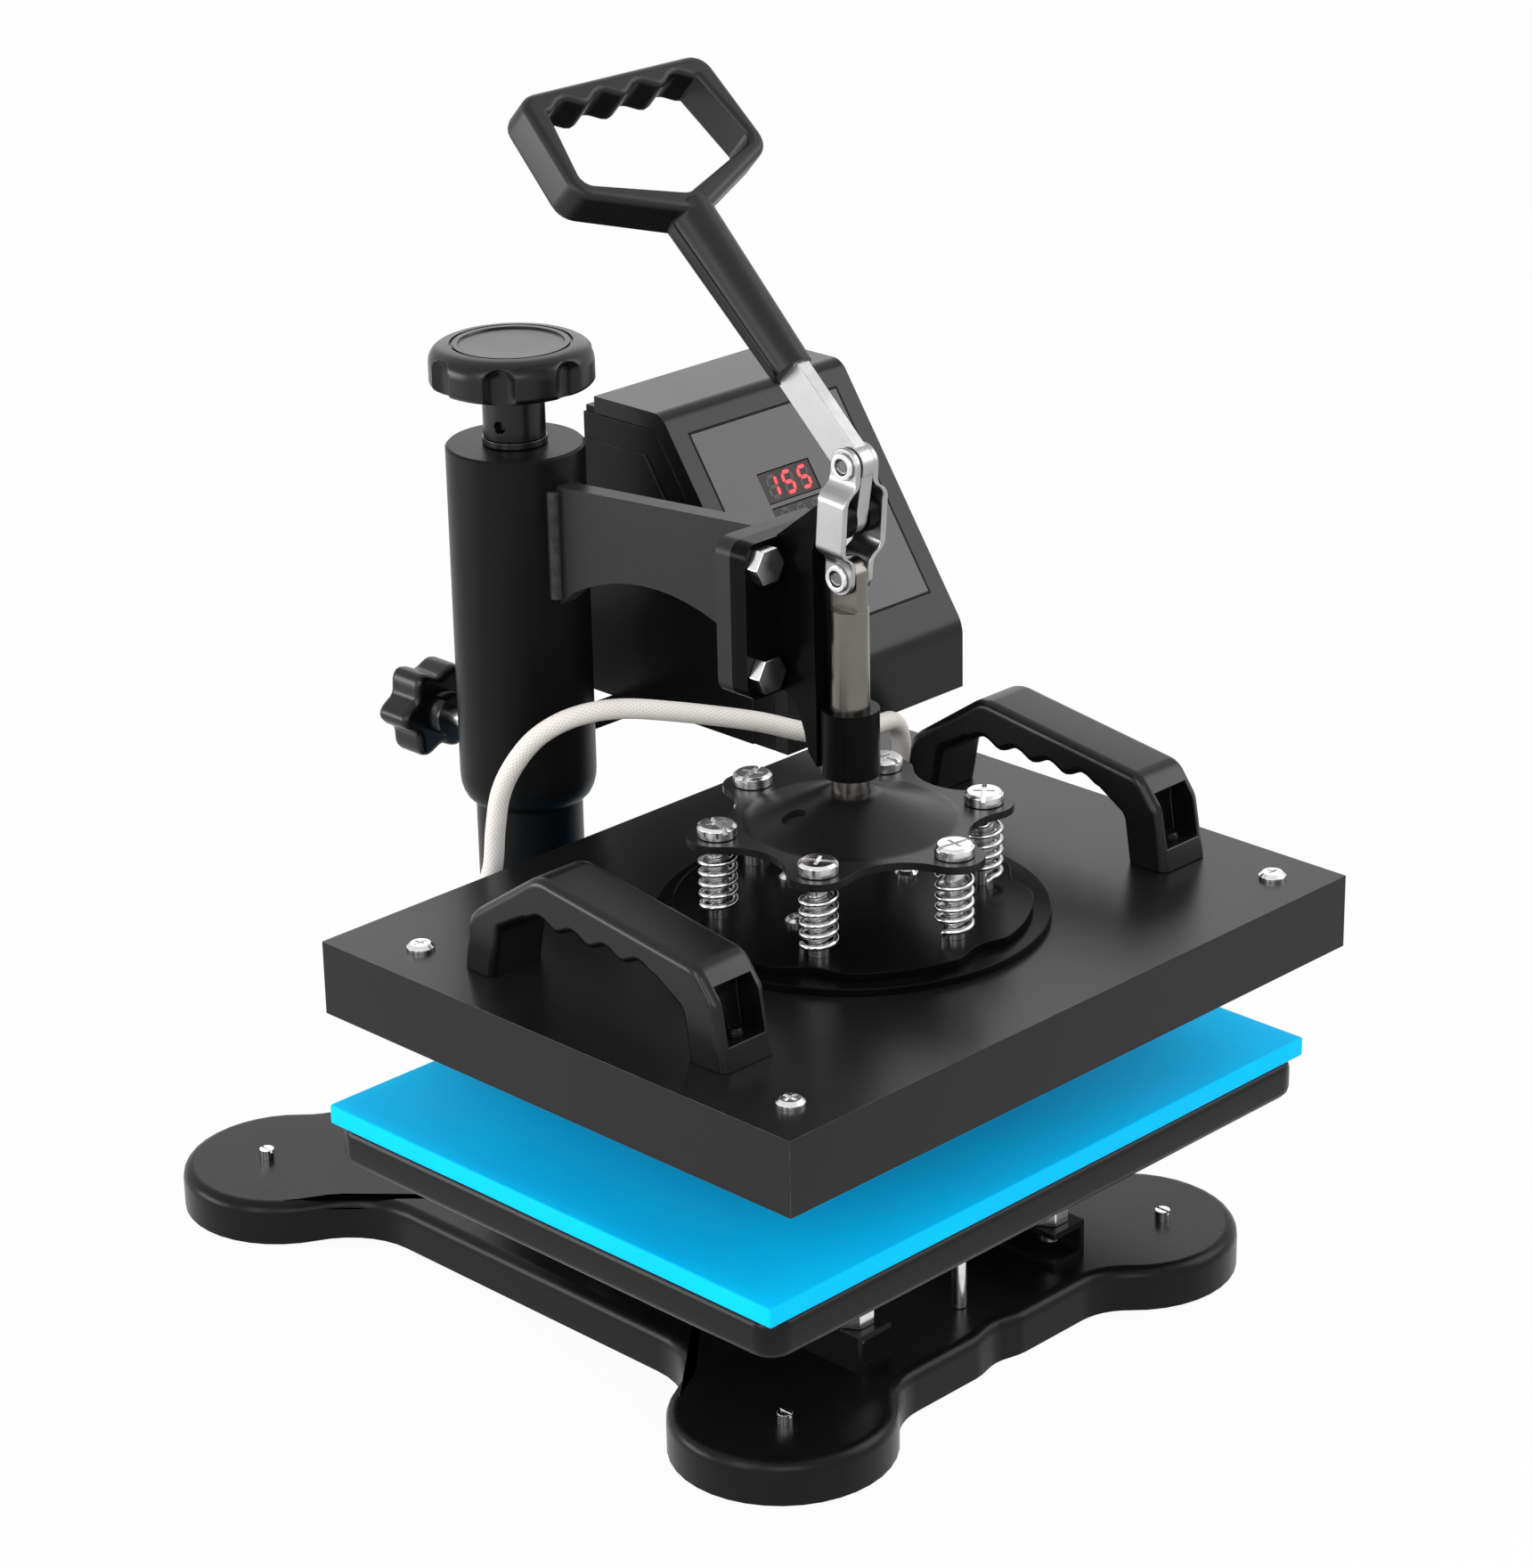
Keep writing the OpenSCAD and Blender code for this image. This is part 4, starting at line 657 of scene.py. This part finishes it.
def lay_uv(mesh, sides, along):
    """Turn and length coordinates on a tube, so a weave can follow it."""
    layer = mesh.uv_layers.new(name="lie")
    for face in mesh.polygons:
        rings = [v // sides for v in face.vertices]
        seam = {0, sides - 1} <= {v % sides for v in face.vertices}
        for loop, v, ring in zip(face.loop_indices, face.vertices, rings):
            turn = v % sides
            layer.data[loop].uv = ((sides if seam and turn == 0 else turn) / sides, along[ring])


def make_cable():
    line = flowing([(x * MM, y * MM, TOP_Z + z * MM) for x, y, z in CABLE_ROUTE], CABLE_STEPS)
    points, faces = tube(line, CABLE_R, CABLE_SIDES)
    mesh = mesh_from("heater_lead", points, faces, 60)
    steps = np.linalg.norm(np.diff(line, axis=0), axis=1)
    along = np.concatenate([[0.0], np.cumsum(steps)])
    lay_uv(mesh, CABLE_SIDES, along)
    cable = new_piece("heater_lead", mesh)
    dress_only(cable, "white_braid", "heater_cable")
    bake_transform(cable)


make_cable()


# Springs: the coils of their solid, drawn finer

SPRINGS, SPRING_RING = 6, 52 * MM
SPRING_R, WIRE_R, SPRING_TURNS = 6.4 * MM, 1.1 * MM, 5
SPRING_LEN, SPRING_PRESSED = 29.5 * MM, 23.5 * MM
SPRING_Z = TOP_Z + 6 * MM
TURN_POINTS, WIRE_SIDES = 28, 12


def spring_line():
    """The middle of the wire: a stub along the axis at each end, and the turns between them."""
    bend = 1.8 * WIRE_R
    stub = [(0.0, 0.0), (0.0, 2 * WIRE_R)]
    for a in np.radians((18, 36, 54, 72)):
        stub.append((bend * (1 - math.cos(a)) / SPRING_R, 2 * WIRE_R + bend * math.sin(a)))
    start = np.array((bend / SPRING_R, 2 * WIRE_R + bend))
    whole = np.array((2 * math.pi * SPRING_TURNS, SPRING_LEN))
    count = TURN_POINTS * SPRING_TURNS
    turns = [start + (whole - 2 * start) * k / count for k in range(count + 1)]
    line = [np.array(s) for s in stub] + turns + [whole - np.array(s) for s in reversed(stub)]
    return np.array([(SPRING_R * math.cos(a), SPRING_R * math.sin(a), z) for a, z in line])


def make_springs():
    points, faces = [], []
    line = spring_line()
    for k in range(SPRINGS):
        turn = math.radians(360 / SPRINGS * k)
        place = math.radians(90 + 360 / SPRINGS * k)
        c, s = math.cos(turn), math.sin(turn)
        at = np.array((SPRING_RING * math.cos(place), PLUNGER_Y + SPRING_RING * math.sin(place), SPRING_Z))
        moved = line @ np.array(((c, s, 0), (-s, c, 0), (0, 0, 1))) + at
        coil, skin = tube(moved, WIRE_R, WIRE_SIDES)
        faces += [tuple(v + len(points) for v in face) for face in skin]
        points += coil
    piece = new_piece("pressure_springs", mesh_from("pressure_springs", points, faces, 60))
    keep(piece, "platen", "bright_steel", "springs")
    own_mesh(piece)


make_springs()


# Pad: a slab of silicone foam with soft, slightly uneven edges

PAD_EDGE, PAD_EDGE_STEPS = 0.9 * MM, 3
PAD_CUTS = (40, 32, 3)
PAD_DIP = 0.12 * MM
PAD_DRAW = 0.0004


def make_pad():
    low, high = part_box("pad")
    size, middle = high - low, (high + low) / 2
    shape = bmesh.new()
    bmesh.ops.create_cube(shape, size=1.0)
    bmesh.ops.scale(shape, vec=size, verts=shape.verts)
    mesh = bpy.data.meshes.new("press_pad")
    shape.to_mesh(mesh)
    shape.free()
    piece = new_piece("press_pad", mesh)
    bevel = piece.modifiers.new("soft_edge", "BEVEL")
    bevel.width = PAD_EDGE
    bevel.segments = PAD_EDGE_STEPS
    settle(piece)
    shape = bmesh.new()
    shape.from_mesh(piece.data)
    for axis, cuts in enumerate(PAD_CUTS):
        for k in range(1, cuts):
            at = Vector((0, 0, 0))
            way = Vector((0, 0, 0))
            way[axis] = 1
            at[axis] = -size[axis] / 2 + size[axis] * k / cuts
            bmesh.ops.bisect_plane(
                shape, geom=shape.verts[:] + shape.edges[:] + shape.faces[:], plane_co=at, plane_no=way)
    for v in shape.verts:
        wave = math.sin(41 * v.co.x + 1.3) * math.sin(37 * v.co.y + 0.4)
        if v.co.z > 0:
            v.co.z -= PAD_DIP * (1 + wave)
        v.co.xy *= 1 - PAD_DRAW * (1 + math.sin(60 * (v.co.x - v.co.y)))
    shape.to_mesh(piece.data)
    shape.free()
    piece.data.transform(Matrix.Translation(middle))
    smooth(piece.data, 50)
    keep(piece, "base", "blue_silicone", "pad")


make_pad()


for node, edge in EDGES.items():
    eased(node, edge)


# Pressure knob: a revolved head with scooped flutes on a collar with a set screw hole, in millimetres

COLUMN_Y = 100.0
KNOB_R, KNOB_H, COLLAR_R = 32.6, 16.8, 12.3
KNOB_Z = TOP_Z / MM + 171.8
# rim from the underside to the top: how far inside the full radius, and how high
KNOB_RIM = [(3, 0), (1.1, 0.9), (0, 2.6), (0, 6.0), (0, 9.6), (0.5, 12.4), (2.1, 14.8), (4.8, 16.3),
            (8, KNOB_H)]
RIM_STEPS = 5
GROOVE_R, DISH_R = KNOB_R - 9, KNOB_R - 12.1
FLUTES, FLUTE_TURN, FLUTE_R, FLUTE_DEPTH, FLUTE_RISE, FLUTE_LIP = 7, -141, 7.2, 4.0, 9.6, 0.9
# where the set screw hole stands round the collar in degrees, its height, radius and depth
HOLE_TURN, HOLE_Z, HOLE_R, HOLE_DEPTH = 200.0, TOP_Z / MM + 157, 2.2, 3.0
KNOB_SIDES, COLLAR_SIDES, COLLAR_STEP = 224, 192, 0.4


def knob_profile():
    """From the middle of the underside round the rim to the middle of the dished top."""
    rim = flowing([(KNOB_R - inside, z, 0) for inside, z in KNOB_RIM], RIM_STEPS)
    rim = [(min(r, KNOB_R), min(max(z, 0.0), KNOB_H)) for r, z, _ in rim]
    top = [(GROOVE_R + 0.6, KNOB_H), (GROOVE_R + 0.5, KNOB_H - 0.9), (GROOVE_R - 0.5, KNOB_H - 0.9),
           (GROOVE_R - 0.6, KNOB_H), (DISH_R + 0.4, KNOB_H), (DISH_R, KNOB_H - 0.7),
           (DISH_R - 1, KNOB_H - 0.8)]
    return [(8.0, 0.0), (20.0, 0.0)] + rim + top + [(10.0, KNOB_H - 0.8)]


def fluted_radius(radius, z, angle):
    """The radius left by the nearest flute, with a soft lip."""
    step = 2 * math.pi / FLUTES
    off = (angle - math.radians(FLUTE_TURN) + step / 2) % step - step / 2
    far = KNOB_R + FLUTE_R - FLUTE_DEPTH
    reach = FLUTE_R ** 2 - max(z - FLUTE_RISE, 0.0) ** 2 - (far * math.sin(off)) ** 2
    if reach <= 0.0:
        return radius
    scoop = far * math.cos(off) - math.sqrt(reach)
    soft = max(FLUTE_LIP - abs(radius - scoop), 0.0) / FLUTE_LIP
    return min(radius, scoop) - FLUTE_LIP * soft * soft / 4


def revolve(rows, sides, place):
    """Closed skin through rings of points."""
    points = [place(row, 2 * math.pi * k / sides) for row in rows for k in range(sides)]
    return points, ring_faces(len(rows), sides)


def on_column(r, angle, z):
    return (r * math.cos(angle) * MM, (COLUMN_Y + r * math.sin(angle)) * MM, z * MM)


def on_head(row, angle):
    r = fluted_radius(row[0], row[1], angle) if row[0] > GROOVE_R else row[0]
    return on_column(r, angle, KNOB_Z + row[1])


def on_collar(z, angle):
    turn = (angle - math.radians(HOLE_TURN) + math.pi) % (2 * math.pi) - math.pi
    off = math.hypot(turn * COLLAR_R, z - HOLE_Z)
    sunk = HOLE_DEPTH * min(max((HOLE_R + 0.25 - off) / 0.5, 0.0), 1.0)
    return on_column(COLLAR_R - sunk, angle, z)


def make_pressure_knob():
    points, faces = revolve(knob_profile(), KNOB_SIDES, on_head)
    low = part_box("pressure_knob")[0].z / MM
    steps = int((KNOB_Z - low) / COLLAR_STEP)
    heights = [low + (KNOB_Z + 0.5 - low) * k / steps for k in range(steps + 1)]
    collar, skin = revolve(heights, COLLAR_SIDES, on_collar)
    faces += [tuple(v + len(points) for v in face) for face in skin]
    points += collar
    piece = new_piece("pressure_knob_head", mesh_from("pressure_knob_head", points, faces, 34))
    keep(piece, BODY_OF["pressure_knob"], SLOT_OF["pressure_knob"], "pressure_knob")


make_pressure_knob()


# Display digits: seven bars each, lit or dark, lying in the windows of the sloping panel

SLOPE = math.atan2((BOX_HIGH.z - BOX_LOW.z) - BOX_FRONT_H, BOX_SLOPE_D)
SLOPE_UP = Vector((0, math.cos(SLOPE), math.sin(SLOPE)))
SLOPE_OUT = Vector((0, -math.sin(SLOPE), math.cos(SLOPE)))
SLOPE_FOOT = Vector((BOX_LOW.x, BOX_LOW.y, BOX_LOW.z + BOX_FRONT_H))
SEGMENTS = {"1": "bc", "5": "acdfg"}
BAR_T = 0.1 * MM
BAR_GAP = 0.18
DIGIT_LEAN = 0.12
WINDOW_DEPTH = 0.4 * MM
DIGIT_X, DIGIT_STEP = 39.2 * MM, 8.9 * MM


def panel_point(x, s, out):
    return SLOPE_FOOT + Vector((x, 0, 0)) + SLOPE_UP * s + SLOPE_OUT * out


def bar_ends(width, height):
    w, h = width / 2, height / 2
    return {"a": ((-w, h), (w, h)), "b": ((w, h), (w, 0)), "c": ((w, 0), (w, -h)), "d": ((-w, -h), (w, -h)),
            "e": ((-w, 0), (-w, -h)), "f": ((-w, h), (-w, 0)), "g": ((-w, 0), (w, 0))}


def add_bar(points, faces, centre, ends, thick):
    """One pointed bar of a digit, leaning as such digits do."""
    a, b = (np.array(e) for e in ends)
    way = (b - a) / np.linalg.norm(b - a)
    side = np.array((-way[1], way[0])) * thick / 2
    gap = way * thick * BAR_GAP
    a, b = a + gap, b - gap
    nib = way * thick / 2
    outline = [a, a + nib - side, b - nib - side, b, b - nib + side, a + nib + side]
    first = len(points)
    for out in (-WINDOW_DEPTH, -WINDOW_DEPTH + BAR_T):
        for p in outline:
            points.append(panel_point(centre[0] + p[0] + DIGIT_LEAN * p[1], centre[1] + p[1], out))
    faces += [tuple(first + v for v in face) for face in ring_faces(2, len(outline))]


def make_digits(name, shown, s, width, height, thick, slot):
    """The lit bars of a row of digits as one piece, and the dark bars as another."""
    for lit in (True, False):
        points, faces = [], []
        for k, digit in enumerate(shown):
            for bar, ends in bar_ends(width, height).items():
                if (bar in SEGMENTS.get(digit, "")) == lit:
                    add_bar(points, faces, (DIGIT_X + k * DIGIT_STEP, s), ends, thick)
        if points:
            piece = new_piece(f"{name}_{'lit' if lit else 'dark'}", mesh_from(name, points, faces, 30))
            keep(piece, "head", slot, finish=LIT if lit else UNLIT)


BORDER_X, BORDER_S, BORDER_W = (9 * MM, 94 * MM), (17 * MM, 110 * MM), 0.9 * MM
BORDER_SKIN = (-0.03 * MM, 0.04 * MM)


def make_gap_shade():
    """A dark strip round the panel film: painted shade standing for the gap round its edge."""
    (x0, x1), (s0, s1), wide = BORDER_X, BORDER_S, BORDER_W
    points, faces = [], []
    for xa, xb, sa, sb in ((x0, x1, s0, s0 + wide), (x0, x1, s1 - wide, s1),
                           (x0, x0 + wide, s0 + wide, s1 - wide), (x1 - wide, x1, s0 + wide, s1 - wide)):
        first = len(points)
        for out in BORDER_SKIN:
            points += [panel_point(x, s, out) for x, s in ((xa, sa), (xb, sa), (xb, sb), (xa, sb))]
        faces += [tuple(first + v for v in face) for face in ring_faces(2, 4)]
    piece = new_piece("panel_gap_shade", mesh_from("panel_gap_shade", points, faces, 30))
    # the strip takes the darker shade black, as painted shade
    keep(piece, "head", "panel_film", finish=SHADE_BLACK)


make_gap_shade()
make_digits("temperature", "155", 79 * MM, 4.6 * MM, 8.6 * MM, 1.5 * MM, "red_window")
make_digits("minutes", "   ", 65.9 * MM, 4.0 * MM, 6.2 * MM, 1.1 * MM, "dark_window")


# Room: a pale floor that goes white to the eye, and soft lamps

FLOOR_HALF, FLOOR_SINK, FLOOR_WHITE = 6.0, 0.0002, 0.95
ROOM_LIGHT = 0.75


def see_white(t):
    """White to the camera and in mirrors; plain to the light that falls on the object."""
    path = t.add("LightPath")
    seen = t.math("MAXIMUM", path.outputs["Is Camera Ray"], path.outputs["Is Glossy Ray"])
    return t.math("MAXIMUM", seen, path.outputs["Is Transmission Ray"])


def make_floor():
    shape = bmesh.new()
    bmesh.ops.create_grid(shape, x_segments=1, y_segments=1, size=FLOOR_HALF)
    mesh = bpy.data.meshes.new("floor")
    shape.to_mesh(mesh)
    shape.free()
    floor = new_piece("floor", mesh)
    floor.location.z = -FLOOR_SINK
    material, t, shader = new_material("pale_floor")
    shader.inputs["Base Color"].default_value = (0.80, 0.80, 0.80, 1.0)
    shader.inputs["Roughness"].default_value = 0.9
    shader.inputs["Specular IOR Level"].default_value = 0.0
    glow = t.add("Emission")
    glow.inputs["Color"].default_value = (1.0, 1.0, 1.0, 1.0)
    glow.inputs["Strength"].default_value = 1.0
    mix = t.add("MixShader")
    t.link(t.math("MULTIPLY", see_white(t), FLOOR_WHITE), mix.inputs[0])
    t.link(shader.outputs[0], mix.inputs[1])
    t.link(glow.outputs[0], mix.inputs[2])
    t.link(mix.outputs[0], material.node_tree.nodes["Material Output"].inputs["Surface"])
    mesh.materials.append(material)


def make_world():
    world = bpy.data.worlds.new("white_room")
    bpy.context.scene.world = world
    world.use_nodes = True
    t = Tree(world.node_tree)
    back = world.node_tree.nodes["Background"]
    back.inputs["Color"].default_value = (1.0, 1.0, 1.0, 1.0)
    t.link(t.spread(see_white(t), 0.0, 1.0, ROOM_LIGHT, 1.0), back.inputs["Strength"])


# soft lamps: place in metres, width and height, watts
LAMPS = {
    "left_box": ((-1.2, 1.05, 0.35), (1.0, 0.5), 12),
    "right_box": ((1.15, -0.95, 1.1), (1.1, 1.1), 12),
    "back_box": ((1.2, 1.3, 0.95), (1.3, 0.7), 2.5),
    "front_box": ((-1.15, -1.25, 0.85), (1.0, 0.6), 7),
    "side_strip": ((-1.5, -0.2, 0.8), (0.4, 1.0), 7),
}
LAMPS_AIM = (0, 0, 0.2)


def add_lamp(name, at, size, watts):
    data = bpy.data.lights.new(name, "AREA")
    data.shape = "RECTANGLE"
    data.size, data.size_y = size
    data.energy = watts
    lamp = bpy.data.objects.new(name, data)
    bpy.context.scene.collection.objects.link(lamp)
    lamp.location = at
    lamp.rotation_euler = (Vector(LAMPS_AIM) - Vector(at)).to_track_quat("-Z", "Y").to_euler()


make_floor()
make_world()
for name, lamp in LAMPS.items():
    add_lamp(name, *lamp)

bpy.context.scene.view_settings.view_transform = "Standard"
